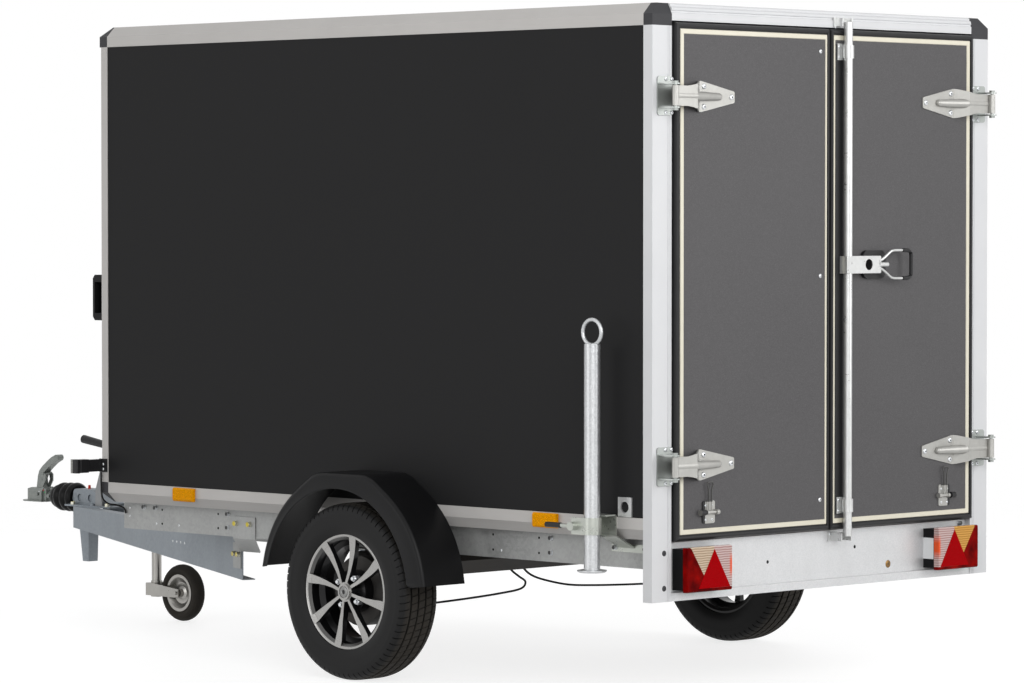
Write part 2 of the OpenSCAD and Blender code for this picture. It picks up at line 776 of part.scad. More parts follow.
module nose_wheel_clamp() color("silver") placed() {
    x0 = jack_x - 22;
    x1 = jack_x + 60;
    web = sheet_t * beam_len / beam_run;
    difference() {
        union() {
            translate([0, 0, jack_plate_z]) linear_extrude(jack_plate_t) polygon([
                [x0, -(beam_y(x0) - web)], [x1, -(beam_y(x1) - web)],
                [x1, beam_y(x1) - web], [x0, beam_y(x0) - web]
            ]);
            bar_z(jack_x, 0, [jack_plate_z - 20, jack_tube_top], jack_tube_d / 2);
            bar_z(jack_x, 0, [jack_plate_z - 12, jack_plate_z + 50], jack_tube_d / 2 + 5);
        }
        bar_z(jack_x, 0, [jack_plate_z - 30, jack_tube_top - 10], jack_leg_d / 2 + leg_clear);
    }
    // crank on top
    bar_z(jack_x, 0, [jack_tube_top, jack_tube_top + 18], 8);
    bar_y(jack_x, [0, 96], jack_tube_top + 18, 7);
    bar_z(jack_x, 90, [jack_tube_top + 18, jack_tube_top + 96], 11);
}

module nose_leg() color("silver") placed() {
    bar_z(jack_x, 0, [fork_top + 0.3, jack_tube_top - 12 - jack_stroke], jack_leg_d / 2);
    bar_z(jack_x, 0, [fork_top - 50, fork_top + 1], spigot_r);
}

module nose_fork() color("gray") placed() {
    hub_x = jack_x - jack_trail;
    cheek = jack_wheel_w / 2 + 6;
    difference() {
        bar_z(jack_x, 0, [fork_top - 56, fork_top], jack_leg_d / 2 + 3);
        bar_z(jack_x, 0, [fork_top - 51, fork_top + 1], spigot_r + pin_clear);
    }
    both_sides() across(cheek, 5) polygon([
        [jack_x + 18, fork_top - 50], [jack_x + 18, fork_top - 6], [jack_x - 20, fork_top - 6],
        [hub_x - 12, fork_z + 14], [hub_x - 12, fork_z - 12], [hub_x + 8, fork_z - 16]
    ]);
    both_sides() block([jack_x - 18, jack_x + 18], [jack_leg_d / 2, cheek + 5],
        [fork_top - 14, fork_top - 6]);
    bar_y(hub_x, [-cheek - 10, cheek + 10], fork_z, 6);
}

module nose_rim() color("silver") placed() {
    r = nose_rim_r;
    translate([jack_x - jack_trail, 0, fork_z]) rotate([90, 0, 0]) rotate_extrude() polygon([
        [6.1, -24], [15, -24], [15, -10], [24, -5], [38, -7], [r - 12, -17], [r - 7, -21],
        [r + 3, -21], [r + 3, -19], [r, -18.5], [r, 18.5], [r + 3, 19], [r + 3, 21], [r - 7, 21],
        [r - 12, 17], [38, 7], [24, 5], [15, 10], [15, 24], [6.1, 24]
    ]);
}

module nose_tyre() color("#1a1a1a") placed() {
    wide = jack_wheel_w / 2;
    edge = jack_wheel_d / 2;
    deep = (edge - nose_rim_r) / 2;
    translate([jack_x - jack_trail, 0, fork_z]) rotate([90, 0, 0]) rotate_extrude() polygon(concat(
        [[nose_rim_r + fit, -wide * 0.7]],
        [for (a = [-130:20:130]) [edge - deep * (1 - cos(a)), wide * sin(a)]],
        [[nose_rim_r + fit, wide * 0.7]]));
}

// ---------------------------------------------------------------- road wheels

// Turns a wheel made round z, with its outer face up, to the left side of the trailer
module on_hub() translate([axle_x, wheel_y, axle_z]) rotate([-90, 0, 0]) children();

module tyre() {
    r = tyre_d / 2;
    h = tyre_w / 2;
    lip_r = rim_d / 2 + fit;
    seat = rim_half - bead_in - fit;
    flank = [
        [lip_r - bead_lip, seat], [lip_r, seat], [lip_r, rim_half + 4], [lip_r + 4, rim_half + 8],
        [lip_r + 12, h - 2], [lip_r + 34, h], [r - 28, h - 2], [r - 13, h - 7], [r - 4, h - 18],
        [r, h - 34]
    ];
    rotate_extrude($fn = 64) polygon(concat(
        flank, [for (i = [len(flank) - 1:-1:0]) [flank[i][0], -flank[i][1]]]));
}

// One side of a spoke, from the hub out: it widens to the rim along a bent centre line
function spoke_edge(s) = [for (t = [0:0.25:1])
    [24 + t * (rim_d / 2 - 42), spoke_bend * sin(180 * t) + s * (4.5 + 10 * pow(t, 1.6))]];

// Rim: a barrel with a well and two lips, curved spokes in a shallow dish, a hub and a bolt face
module rim() {
    lip_r = rim_d / 2;
    seat = lip_r - bead_lip;
    well = seat - 15;
    face = rim_half;
    rotate_extrude() polygon([
        [lip_r - 7, -face], [lip_r, -face], [lip_r, 4 - face], [seat, bead_in - face],
        [seat, -26], [well, -16], [well, 14], [seat, 26], [seat, face - bead_in],
        [lip_r, face - 4], [lip_r, face + 3], [lip_r - 3, face + 5], [lip_r - 7, face + 4],
        [seat - 6, face - 6], [seat - 6, 28], [well - 6, 16], [well - 6, -18],
        [seat - 6, -28], [seat - 6, 4 - face]
    ]);
    difference() {
        intersection() {
            rotate_extrude() polygon([
                [0, face - 22], [60, face - 22], [seat - 4, face - 16], [seat - 4, face + 2],
                [seat - 40, face - 1], [70, face], [36, face + 4], [0, face + 4]
            ]);
            linear_extrude(2 * face) union() {
                circle(30);
                for (i = [0:spokes - 1]) rotate(i * 360 / spokes + 33.5)
                    polygon(concat(spoke_edge(-1), [for (p = [4:-1:0]) spoke_edge(1)[p]]));
            }
        }
        translate([0, 0, face - 30]) cylinder(h = 30 + drum_spigot + fit, r = hub_bore);
    }
    difference() {
        translate([0, 0, face]) cylinder(h = 10, r = 25);
        translate([0, 0, face - 1]) cylinder(h = 1 + drum_spigot + fit, r = hub_bore);
        translate([0, 0, face + 6]) cylinder(h = 5, r = 19);
    }
    translate([0, 0, face + 5]) cylinder(h = 4, r = 17);
    difference() {
        translate([0, 0, drum_out]) cylinder(h = face - 21 - drum_out, r = bolt_circle / 2 + 16);
        translate([0, 0, drum_out - 1]) cylinder(h = face, r = hub_bore);
    }
}

module drum() {
    difference() {
        union() {
            translate([0, 0, -drum_in]) cylinder(h = drum_in + drum_out, r = drum_d / 2 - 2);
            cylinder(h = rim_half + drum_spigot, r = hub_bore - 0.5);
        }
        translate([0, 0, -drum_in - 1]) cylinder(h = drum_in - 9, r = drum_d / 2 - 12);
        translate([0, 0, -drum_in - 1]) cylinder(h = drum_in + 24, r = stub_r + pin_clear);
    }
}

module tyre_left() color("#1c1c1c") placed() on_hub() tyre();
module tyre_right() color("#1c1c1c") placed() mirror([0, 1, 0]) on_hub() tyre();
module rim_left() color("silver") placed() on_hub() rim();
module rim_right() color("silver") placed() mirror([0, 1, 0]) on_hub() rim();
module drum_left() color("dimgray") placed() on_hub() drum();
module drum_right() color("dimgray") placed() mirror([0, 1, 0]) on_hub() drum();

// A mudguard's outline round the axle, from front to rear: two arcs, joined by straight
// shoulders to a flat top
guard_touch = atan2(guard_up, guard_flat) - acos(guard_r / norm([guard_flat, guard_up]));
guard_front = asin((guard_front_z - axle_z) / guard_r);
guard_rear = 180 - asin((guard_rear_z - axle_z) / guard_r);
function guard_arc(from, to) = [for (i = [0:9]) let (a = from + (to - from) * i / 9)
    guard_r * [cos(a), sin(a)]];
guard_path = concat(guard_arc(guard_front, guard_touch),
    [[guard_flat + 8, guard_up - 4], [guard_flat - 6, guard_up], [6 - guard_flat, guard_up],
        [-guard_flat - 8, guard_up - 4]],
    guard_arc(180 - guard_touch, guard_rear));

// Its section at a point: the top sheet, a rounded edge and the skirt down to the wheel arch,
// as distances out from the centre and in towards the axle
function guard_section(p) =
    let (u = p / norm(p))
    let (deep = norm(p) - guard_arch - guard_arch_ahead * u[0])
    let (y0 = half_w + fit, y1 = guard_y, c = guard_y - guard_edge)
    let (outline = concat([[y0, 0]],
        [for (a = [90:-18:0]) [c + guard_edge * cos(a), guard_edge * (1 - sin(a))]],
        [[y1, deep], [y1 - guard_t, deep]],
        [for (a = [0:18:90]) [c + (guard_edge - guard_t) * cos(a),
            guard_edge - (guard_edge - guard_t) * sin(a)]],
        [[y0, guard_t]]))
    [for (q = outline) [axle_x + p[0] - q[1] * u[0], q[0], axle_z + p[1] - q[1] * u[1]]];

module mudguard() loft([for (p = guard_path) guard_section(p)]);

module mudguard_left() color("#232324") placed() mudguard();
module mudguard_right() color("#232324") placed() mirror([0, 1, 0]) mudguard();

// ---------------------------------------------------------------- lamps and small body pieces

// Tail lamps: a dark base and a lens with bevelled edges that carries a raised triangle
module tail_lamps() color("firebrick") placed() both_sides() {
    y0 = opening_y - 19 - tail_w;
    y1 = y0 + tail_w;
    z0 = post_bottom + 26;
    z1 = z0 + tail_h;
    lens = 20 - tail_depth;
    block([lens, lamp_seat_x], [y0 + 5, y1 - 5], [z0 + 5, z1 - 5]);
    across(y0, tail_w) polygon([
        [lens, z0], [lens, z1], [4 - tail_depth, z1], [1 - tail_depth, z1 - 4],
        [1 - tail_depth, z0 + 4], [4 - tail_depth, z0]
    ]);
    along(-tail_depth, 3) polygon([
        [y0 + 8, z0 + 10], [y0 + 8 + triangle, z0 + 10], [y0 + 8 + triangle / 2, z1 - 8]
    ]);
}

// Side markers: a base on the rail's upright face and a bevelled lens
module side_markers() color("orange") placed() both_sides() for (x = [marker_in, body_len - marker_in]) {
    z1 = deck_z + rail_h - 2;
    z0 = z1 - marker_h;
    block([x - marker_w / 2 + 2, x + marker_w / 2 - 2], [half_w, half_w + 4], [z0 + 2, z1 - 2]);
    along(x - marker_w / 2, marker_w) polygon([
        [half_w + 4, z0], [half_w + 9, z0], [half_w + 13, z0 + 6], [half_w + 13, z1 - 6],
        [half_w + 9, z1], [half_w + 4, z1]
    ]);
}

// Front lamps: a foot on each corner post, an arm, and a lamp head at its end
module front_lamps() color("#202020") placed() both_sides() {
    z = front_lamp_z;
    y = half_w;
    x = body_len;
    block([x - 34, x + 4], [y, y + 4], [z - 22, z + 22]);
    block([x - 8, x + 10], [y + 3, y + 62], [z - 20, z + 20]);
    translate([0, 0, z - 22]) linear_extrude(44) rounded([x - 14, y + 60], [x + 20, y + 98], 5);
    translate([0, 0, z - 23]) linear_extrude(46) rounded([x - 15, y + 97], [x + 21, y + 115], 6);
}

// Grab handles down the front corner posts: a bar with bevelled ends on two feet
module front_handles() color("#1a1a1a") placed() both_sides() {
    x = body_len;
    y = half_w - front_post + 4;
    for (z = [handle_low, handle_low + handle_len - handle_foot])
        block([x, x + handle_off], [y, y + 30], [z, z + handle_foot]);
    across(y, 30) polygon([
        [x + handle_off, handle_low], [x + handle_off + 10, handle_low + 12],
        [x + handle_off + 10, handle_low + handle_len - 12],
        [x + handle_off, handle_low + handle_len]
    ]);
}

// ---------------------------------------------------------------- hinges

// One hinge bracket on the left post: a plate, two ears, and the pin with its head and nut
module hinge_bracket(z) {
    gap = hinge_h / 2 + 3;
    along(-hinge_t, hinge_t) rounded([opening_y, z - 57], [half_w - 18, z + 57], 9);
    for (s = [-1, 1]) translate([0, 0, z + s * (gap + ear_t / 2) - ear_t / 2])
        linear_extrude(ear_t) union() {
            polygon([
                [-hinge_t, pin_y + 20], [-hinge_t, pin_y - ear_r], [-hinge_back, pin_y - ear_r],
                [-hinge_back, pin_y + ear_r], [-hinge_back / 2, pin_y + 20]
            ]);
            translate([-hinge_back, pin_y]) circle(ear_r);
        }
    bar_z(-hinge_back, pin_y, [z - gap - ear_t - 6, z + gap + ear_t + 5], pin_r);
    translate([-hinge_back, pin_y, z + gap + ear_t - 0.5]) cylinder(h = 6.5, r = 1.9 * pin_r, $fn = 6);
    translate([-hinge_back, pin_y, z - gap - ear_t - 7]) cylinder(h = 7.5, r = 1.9 * pin_r, $fn = 6);
}

module hinge_brackets() color("lightgray") placed() both_sides() {
    hinge_bracket(hinge_low);
    hinge_bracket(hinge_high);
}

// One left strap: rolled round the pin, raised over the seal, then bent down onto the door
module strap(z) {
    half_h = hinge_h / 2;
    inner_x = strap_x0 + hinge_t;
    rib_x = strap_x0 - 1.5 + rib_r;
    run = strap_rib - strap_bend + strap_fall;
    fall = atan2(-door_proud - 8 - rib_x, run);
    difference() {
        union() {
            translate([0, 0, z - half_h]) linear_extrude(hinge_h) union() {
                translate([-hinge_back, pin_y]) circle(barrel_r);
                translate([strap_x0, pin_y - 60]) square([hinge_t, 60]);
            }
            intersection() {
                translate([0, 0, z - strap_flare / 2]) linear_extrude(strap_flare) folded([
                    [strap_x0, pin_y - 40], [strap_x0, pin_y - strap_bend + strap_fall],
                    [-door_proud - hinge_t, pin_y - strap_bend],
                    [-door_proud - hinge_t, pin_y - strap_len]
                ], hinge_t);
                along(-100, 200) translate([pin_y, z]) polygon([
                    [-30, -half_h], [-30, half_h], [-62, half_h], [-84, half_h + 3],
                    [-strap_bend + 8, strap_flare / 2 - 1], [-strap_bend, strap_flare / 2],
                    [-strap_bend - 8, strap_flare / 2], [3 - strap_len, strap_tip / 2],
                    [-strap_len, strap_tip / 2 - 3], [-strap_len, 3 - strap_tip / 2],
                    [3 - strap_len, -strap_tip / 2], [-strap_bend - 8, -strap_flare / 2],
                    [-strap_bend, -strap_flare / 2], [-strap_bend + 8, 1 - strap_flare / 2],
                    [-84, -half_h - 3], [-62, -half_h]
                ]);
            }
            // pressed rib: level up to the bend, then falling to a round end on the door
            difference() {
                union() {
                    bar_y(rib_x, [pin_y - strap_bend + strap_fall - 2, pin_y - 8], z, rib_r);
                    translate([rib_x, pin_y - strap_bend + strap_fall, z])
                        rotate([0, 0, fall]) rotate([90, 0, 0]) {
                            cylinder(h = run, r1 = rib_r - 0.5, r2 = rib_end_r);
                            translate([0, 0, run]) sphere(r = rib_end_r);
                        }
                }
                translate([0, 0, z - 20]) linear_extrude(40) polygon([
                    [inner_x, pin_y], [inner_x, pin_y - strap_bend + strap_fall],
                    [-door_proud, pin_y - strap_bend], [-door_proud, 0], [40, 0], [40, pin_y]
                ]);
            }
        }
        bar_z(-hinge_back, pin_y, [z - hinge_h, z + hinge_h], pin_r + pin_clear);
    }
}

// Door hold-back below the lower strap: a plate, a cross pin with a knob, and a wire hook
module hold_back() {
    face = -door_proud;
    x = face - 9;
    y = hook_y;
    z = hook_z;
    along(face - 3, 3) rounded([y - 27, z - 33], [y + 27, z + 34], 7);
    block([x, face - 1], [y - 24, y + 24], [z - 4, z + 4]);
    bar_y(x, [y - 34, y + 32], z, 5);
    bar_y(x, [y - 36, y - 24], z, 8);
    bar_y(x, [y + 8, y + 20], z, 7);
    bar_y(x, [y + 24, y + 44], z, 9);
    swept(smooth([for (q = hook_route) [x, y + q[0], z + q[1]]], 2), 2.2, 8);
}

module door_left_hinges() color("white") placed() {
    strap(hinge_low);
    strap(hinge_high);
    hold_back();
}

module door_right_hinges() color("white") placed() mirror([0, 1, 0]) {
    strap(hinge_low);
    strap(hinge_high);
    hold_back();
}

// ---------------------------------------------------------------- door leaves

// The left leaf's outline in y and z, shrunk by m at the middle and by d at the other edges
module leaf(m, d) translate([leaf_y0 + m, leaf_z0 + d])
    square([leaf_y - leaf_y0 - m - d, leaf_z1 - leaf_z0 - 2 * d]);

// A mitred frame round the leaf. Its section is a list of places: a share of the width d[1] in
// from the inset d[0] (m for the edge at the middle), and a distance x along the body
module leaf_frame(section, d, m) {
    rings = [for (q = section)
        let (y0 = leaf_y0 + m[0] + q[0] * m[1], y1 = leaf_y - d[0] - q[0] * d[1])
        let (z0 = leaf_z0 + d[0] + q[0] * d[1], z1 = leaf_z1 - d[0] - q[0] * d[1])
        [[q[1], y0, z0], [q[1], y1, z0], [q[1], y1, z1], [q[1], y0, z1]]];
    polyhedron([for (q = rings) each q], skin(len(rings), 4, len(rings) - 1));
}

// The rubber has a rounded bulge and a groove beside the edging, which stands a little proud
module leaf_seal() {
    face = -door_proud;
    leaf_frame([
        [0, face + 5], [0, door_inner_x - 5], [1, door_inner_x - 5], [1, face + 1], [0.86, face + 1],
        [0.8, face - seal_proud + 2], [0.66, face - seal_proud + 0.5], [0.5, face - seal_proud],
        [0.3, face - seal_proud + 1], [0.12, face - 1]
    ], [0, seal_w], [0, middle_seal_w]);
}

module leaf_trim() {
    face = -door_proud;
    leaf_frame([
        [0, face], [0, door_inner_x], [1, door_inner_x], [1, face], [0.9, face - trim_proud],
        [0.1, face - trim_proud]
    ], [seal_w, trim_w], [middle_seal_w, middle_trim_w]);
}

module leaf_panel() along(-door_proud, door_t)
    leaf(middle_seal_w + middle_trim_w, seal_w + trim_w);

module door_left_panel() color("#5c5b5d") placed() leaf_panel();
module door_left_trim() color("cornsilk") placed() leaf_trim();
module door_left_seal() color("#222222") placed() leaf_seal();
module door_right_panel() color("#5c5b5d") placed() mirror([0, 1, 0]) leaf_panel();
module door_right_trim() color("cornsilk") placed() mirror([0, 1, 0]) leaf_trim();
module door_right_seal() color("#222222") placed() mirror([0, 1, 0]) leaf_seal();

// Lock handle, along y from the bar's axis: a clamp, a channel with a hole, a wire loop with a
// grip, and a pad on the door behind it
module lock_handle() {
    x = bar_x - bar_r - 1.5;
    half = handle_plate_h / 2;
    along(x, 3) difference() {
        rounded([-22, -half], [handle_plate, half], 5);
        translate([82, 0]) circle(17);
    }
    for (z = [-half, half - 3])
        block([x + 2, x + 12], [bar_r + 4, handle_plate - 14], [z, z + 3]);
    for (y = [-22, bar_r + 4]) block([x + 1, -door_proud - 5], [y, y + 3], [-half, half]);
    bar_y(x + 2, [handle_plate - 8, handle_plate + 32], 0, 7);
    for (s = [-1, 1]) swept(smooth([for (q = loop_leg) [x + 2, q[0], s * q[1]]], 2), 4, 8);
    swept(smooth([for (q = loop_grip) [x + 2, q[0], q[1]]], 2), 6, 8);
    along(-door_proud - 12, 12) rounded([80, -43], [186, 43], 22);
}

// Lock bar down the right leaf: guides, cams at both ends and a folding handle
module lock_bar() color("lightgray") placed() {
    bar_z(bar_x, bar_y, [leaf_z0 - 22, leaf_z1 + 22], bar_r);
    for (z = [leaf_z0 + 72, leaf_z1 - 68]) {
        block([-door_proud - hinge_t, -door_proud], [bar_y - 32, bar_y + 32], [z - 25, z + 25]);
        difference() {
            bar_z(bar_x, bar_y, [z - 20, z + 20], bar_r + 4);
            block([-door_proud - 3, 0], [bar_y - 40, bar_y + 40], [z - 30, z + 30]);
        }
    }
    // tongues in the keepers
    for (z = [leaf_z0 - 22, leaf_z1 + 22 - cam_h])
        block([bar_x, bar_x + bar_r + 8], [bar_y - 8, bar_y + 8], [z, z + cam_h]);
    translate([0, bar_y, handle_z]) mirror([0, 1, 0]) lock_handle();
}

// One keeper of the lock bar, from the face at x: a plate with an ear on each side of the bar
module keeper(x, z) {
    block([x - hinge_t, x], [bar_y - 36, bar_y + 36], [z - 14, z + 14]);
    for (y = [bar_y - keeper_gap - 4, bar_y + keeper_gap])
        block([-28, x - hinge_t], [y, y + 4], [z - 12, z + 12]);
}

// Keepers of the lock bar on the header and crossmember, and the hold-back sockets
module door_keepers() color("lightgray") placed() {
    keeper(0, leaf_z1 + 22);
    keeper(18, leaf_z0 - 25);
    both_sides() difference() {
        block([80, 134], [half_w - lip, half_w + 3], [deck_z + rail_h + 1, deck_z + rail_h + 59]);
        bar_y(107, [half_w - lip - 1, half_w + 4], deck_z + rail_h + 30, 16);
    }
}

// ---------------------------------------------------------------- prop stands

// Clamps of the prop stands: a folded plate from the rail down to a strap on the chassis, a box
// out to the tube, a band round the tube and the lever that pulls the band tight
module stand_clamps() color("lightgray") placed() both_sides() {
    y0 = half_w + 4;
    band = stand_d / 2 + leg_clear;
    lever_z = clamp_z0 + clamp_h / 2;
    x0 = stand_x - 28;
    along(x0, clamp_w) folded([
        [half_w, clamp_z0 + clamp_h - 3], [half_w, clamp_z0 + 2], [chassis_y, chassis_z + 62],
        [chassis_y, chassis_z + 52]
    ], 4);
    block([stand_x - 88, stand_x + 65], [chassis_y, chassis_y + 4], [chassis_z + 47, chassis_z + 71]);
    // box between the plate and the band
    for (z = [clamp_z0, clamp_z0 + clamp_h - 4])
        block([x0, x0 + clamp_w], [y0 - 1, stand_y - band - 3], [z, z + 4]);
    block([x0 + clamp_w - 4, x0 + clamp_w], [y0 - 1, stand_y - band - 3],
        [clamp_z0, clamp_z0 + clamp_h]);
    translate([stand_x, stand_y, clamp_z0 + 7]) linear_extrude(clamp_h - 14) difference() {
        union() {
            circle(band + 4);
            translate([0, -band - 4]) square([58, 2 * band + 8]);
        }
        circle(band);
        translate([0, -band]) square([59, 2 * band]);
    }
    bar_y(stand_x + 44, [stand_y - band - 9, stand_y + band + 22], lever_z, 5);
    bar_y(stand_x + 44, [stand_y + band + 3, stand_y + band + 24], lever_z, 13);
    bar_x([stand_x + 44, stand_x + 92], stand_y + band + 14, lever_z, 6);
    bar_x([stand_x + 90, stand_x + 150], stand_y + band + 14, lever_z, 8);
}

// Prop stand: a tube with a dished foot, a cap and a ring to lift it by
module stand() {
    top = stand_foot_z + stand_len;
    difference() {
        bar_z(stand_x, stand_y, [stand_foot_z - 1, top], stand_d / 2);
        bar_z(stand_x, stand_y, [stand_foot_z - 2, top - 8], stand_d / 2 - 3);
    }
    translate([stand_x, stand_y, stand_foot_z - 10]) rotate_extrude() polygon([
        [0, 0], [38, 0], [44, 4], [44, 7], [stand_d / 2 + 3, 10], [0, 10]
    ]);
    translate([stand_x, stand_y, top + ring_r - 3]) rotate([90, 0, 0])
        rotate_extrude() translate([ring_r, 0]) circle(6);
}

module stand_left() color("lightgray") placed() stand();
module stand_right() color("lightgray") placed() mirror([0, 1, 0]) stand();

// ---------------------------------------------------------------- the nodes

cargo_floor();
side_panels();
front_panel();
roof_panel();
side_rails();
front_frame();
corner_caps();
rear_frame();
rear_crossmember();
chassis_rails();
chassis_crossbars();
drawbar_beams();
drawbar_brackets();
axle_beam();
brake_linkage();
brake_cables();
lamp_leads();
overrun_housing();
overrun_bellows();
coupling_head();
coupling_handle();
handbrake_lever();
nose_wheel_clamp();
drawbar_foot();
mudguard_left();
mudguard_right();
tail_lamps();
side_markers();
front_lamps();
front_handles();
hinge_brackets();
door_keepers();
stand_clamps();
door_left_panel();
door_left_trim();
door_left_seal();
door_left_hinges();
door_right_panel();
door_right_trim();
door_right_seal();
door_right_hinges();
lock_bar();
tyre_left();
rim_left();
drum_left();
tyre_right();
rim_right();
drum_right();
stand_left();
stand_right();
nose_leg();
nose_fork();
nose_rim();
nose_tyre();
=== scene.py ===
"""Dresses the box trailer: its finishes, its small fittings, and the stage that it stands on."""

import functools
import math

import bpy
import numpy as np
from bpy.props import FloatProperty, FloatVectorProperty, IntProperty, PointerProperty
from bpy.types import Operator, Panel, PropertyGroup
from bpy.utils import register_class, unregister_class
from mathutils import Euler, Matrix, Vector


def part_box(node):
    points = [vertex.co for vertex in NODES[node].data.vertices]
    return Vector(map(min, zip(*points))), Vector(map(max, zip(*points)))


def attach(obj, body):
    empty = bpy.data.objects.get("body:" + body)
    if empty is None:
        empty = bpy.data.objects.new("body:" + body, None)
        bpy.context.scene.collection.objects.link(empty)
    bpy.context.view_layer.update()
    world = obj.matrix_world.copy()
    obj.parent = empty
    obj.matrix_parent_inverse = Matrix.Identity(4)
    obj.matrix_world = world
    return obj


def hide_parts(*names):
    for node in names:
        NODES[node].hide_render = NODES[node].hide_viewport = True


bl_info = {
    "name": "Box Trailer Looks",
    "version": (1, 0, 0),
    "blender": (4, 5, 0),
    "location": "3D View > Sidebar > Trailer",
    "description": "Finishes and small fittings for a single-axle box trailer",
    "category": "Object",
}

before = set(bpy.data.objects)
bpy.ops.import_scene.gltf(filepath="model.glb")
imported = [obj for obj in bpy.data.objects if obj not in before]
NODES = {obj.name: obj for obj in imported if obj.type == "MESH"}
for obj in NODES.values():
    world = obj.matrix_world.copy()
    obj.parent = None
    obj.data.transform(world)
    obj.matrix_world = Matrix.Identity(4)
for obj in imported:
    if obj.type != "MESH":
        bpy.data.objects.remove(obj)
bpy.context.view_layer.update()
SIDES = {"left": 1.0, "right": -1.0}
MM = 0.001
BACK, UP = (-1, 0, 0), (0, 0, 1)
YELLOW = "Yellow-passivated screw"
SUNK = -0.3  # millimetres that a fastener goes into its sheet


# ---- places from the frame

def low(node):
    """Lowest corner of a CAD node's box at rest."""
    return np.array(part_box(node)[0])


def high(node):
    """Highest corner of a CAD node's box at rest."""
    return np.array(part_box(node)[1])


def middle(node):
    return (low(node) + high(node)) / 2


def at(x, y, z):
    """A point given in millimetres: ahead of the body's rear face, left of the middle, and up."""
    return np.array([low("rear_frame")[0] + x * MM, y * MM, z * MM])


# ---- mesh helpers

def grid_faces(n, m, wrap_n=False, wrap_m=False):
    """Quads of an n by m grid of points, row by row, closed round either way if asked."""
    i, j = np.meshgrid(np.arange(n if wrap_n else n - 1), np.arange(m if wrap_m else m - 1), indexing="ij")
    i, j = i.ravel(), j.ravel()
    a, b = (i + 1) % n, (j + 1) % m
    return np.stack([i * m + j, a * m + j, a * m + b, i * m + b], axis=1)


def tube_faces(rows, n, flip=False):
    """Faces of a closed ring of n points drawn through the rows, with a cap at each end."""
    last = rows * n
    faces = [*grid_faces(rows, n, wrap_m=True).tolist(), list(range(n)), list(range(last - n, last))[::-1]]
    return [face[::-1] for face in faces] if flip else faces


def add_object(name, data):
    """A new object in the scene, at the origin."""
    made = bpy.data.objects.new(name, data)
    bpy.context.scene.collection.objects.link(made)
    return made


def make_piece(name, points, faces, material, body, crease=35.0, shade=None):
    """A mesh object at the origin from arrays of points and faces, riding on a body.

    Edges sharper than the crease angle stay sharp. Shade is a number at each point that a finish may read."""
    mesh = bpy.data.meshes.new(name)
    mesh.from_pydata(np.asarray(points, float).reshape(-1, 3).tolist(), [], [list(f) for f in faces])
    mesh.update()
    mesh.polygons.foreach_set("use_smooth", np.ones(len(mesh.polygons), bool))
    mesh.set_sharp_from_angle(angle=math.radians(crease))
    if shade is not None:
        mesh.attributes.new("shade", "FLOAT", "POINT").data.foreach_set("value", np.asarray(shade, float))
    mesh.materials.append(bpy.data.materials[material])
    piece = add_object(name, mesh)
    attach(piece, body)
    return piece


def revolve(profile, place, axis, n=24):
    """A closed body of revolution: points, faces and shade.

    Each row of the profile is a radius and a height in millimetres, from the top down, and a 1 where the ring
    is a hexagon. A ring's points are place + radius (side cos t + up sin t) + height axis, and a hexagon's
    radius is divided by cos(t mod 60 - 30). The shade is 1 on the first ring, a screw's recessed floor."""
    radius, height, hexagon = (np.array(profile, float) * (MM, MM, 1.0)).T
    axis = np.array(axis, float) / np.linalg.norm(axis)
    side = np.cross(axis, (0.0, 0.0, 1.0) if abs(axis[2]) < 0.9 else (1.0, 0.0, 0.0))
    side /= np.linalg.norm(side)
    t = np.arange(n) * 2 * np.pi / n
    corner = np.cos(np.pi / 6) / np.cos(t % (np.pi / 3) - np.pi / 6)
    reach = radius[:, None] * np.where(hexagon[:, None] > 0, corner / np.cos(np.pi / 6), 1.0)
    ring = np.outer(np.cos(t), side) + np.outer(np.sin(t), np.cross(axis, side))
    points = place + reach[..., None] * ring + height[:, None, None] * axis
    shade = np.repeat(np.arange(len(profile)) == 0, n)
    return points.reshape(-1, 3), tube_faces(len(profile), n), shade


def gather(parts):
    """Joins closed bodies into one set of points, faces and shades."""
    points, faces, shades, start = [], [], [], 0
    for part_points, part_faces, shade in parts:
        points.append(part_points)
        faces += [[start + i for i in face] for face in part_faces]
        shades.append(shade)
        start += len(part_points)
    return np.concatenate(points), faces, np.concatenate(shades)


def hexagon_bolt(across):
    """Profile of a hexagon head with a chamfered crown on a washer, from its width across flats."""
    return [(0.44 * across, 0.66 * across, 0), (0.5 * across, 0.58 * across, 1),
            (0.5 * across, 0.12 * across, 1), (0.60 * across, 0.12 * across, 0),
            (0.62 * across, 0.08 * across, 0), (0.62 * across, SUNK, 0)]


def hexagon_nut(across, stud):
    """Profile of a nut on a stud: the stud's end, the chamfered crown and the flats."""
    return [(0.8 * stud, 1.15 * across, 0), (stud, 1.1 * across, 0), (stud, 0.8 * across, 0),
            (0.44 * across, 0.8 * across, 0), (0.5 * across, 0.7 * across, 1), (0.5 * across, 0.0, 1),
            (0.5 * across, SUNK, 1)]


def pan_head(r, rise):
    """Profile of a round screw head with a recess in its crown."""
    return [(0.30 * r, 0.35 * rise, 0), (0.38 * r, 0.98 * rise, 0), (0.5 * r, rise, 0),
            (0.78 * r, 0.8 * rise, 0), (0.95 * r, 0.42 * rise, 0), (r, 0.08 * rise, 0), (r, SUNK, 0)]


def rivet_head(r, rise):
    """Profile of a smooth round head."""
    return [(0.16 * r, rise, 0), (0.5 * r, 0.93 * rise, 0), (0.8 * r, 0.66 * rise, 0),
            (0.96 * r, 0.3 * rise, 0), (r, 0.0, 0), (r, SUNK, 0)]


def fasteners(name, profile, places, axis=BACK, finish="Screw zinc", body="trailer"):
    """One piece with the same head at each place, in millimetres, facing along the axis."""
    points, faces, shade = gather([revolve(profile, at(*place), axis) for place in places])
    make_piece(name, points, faces, finish, body, shade=shade)


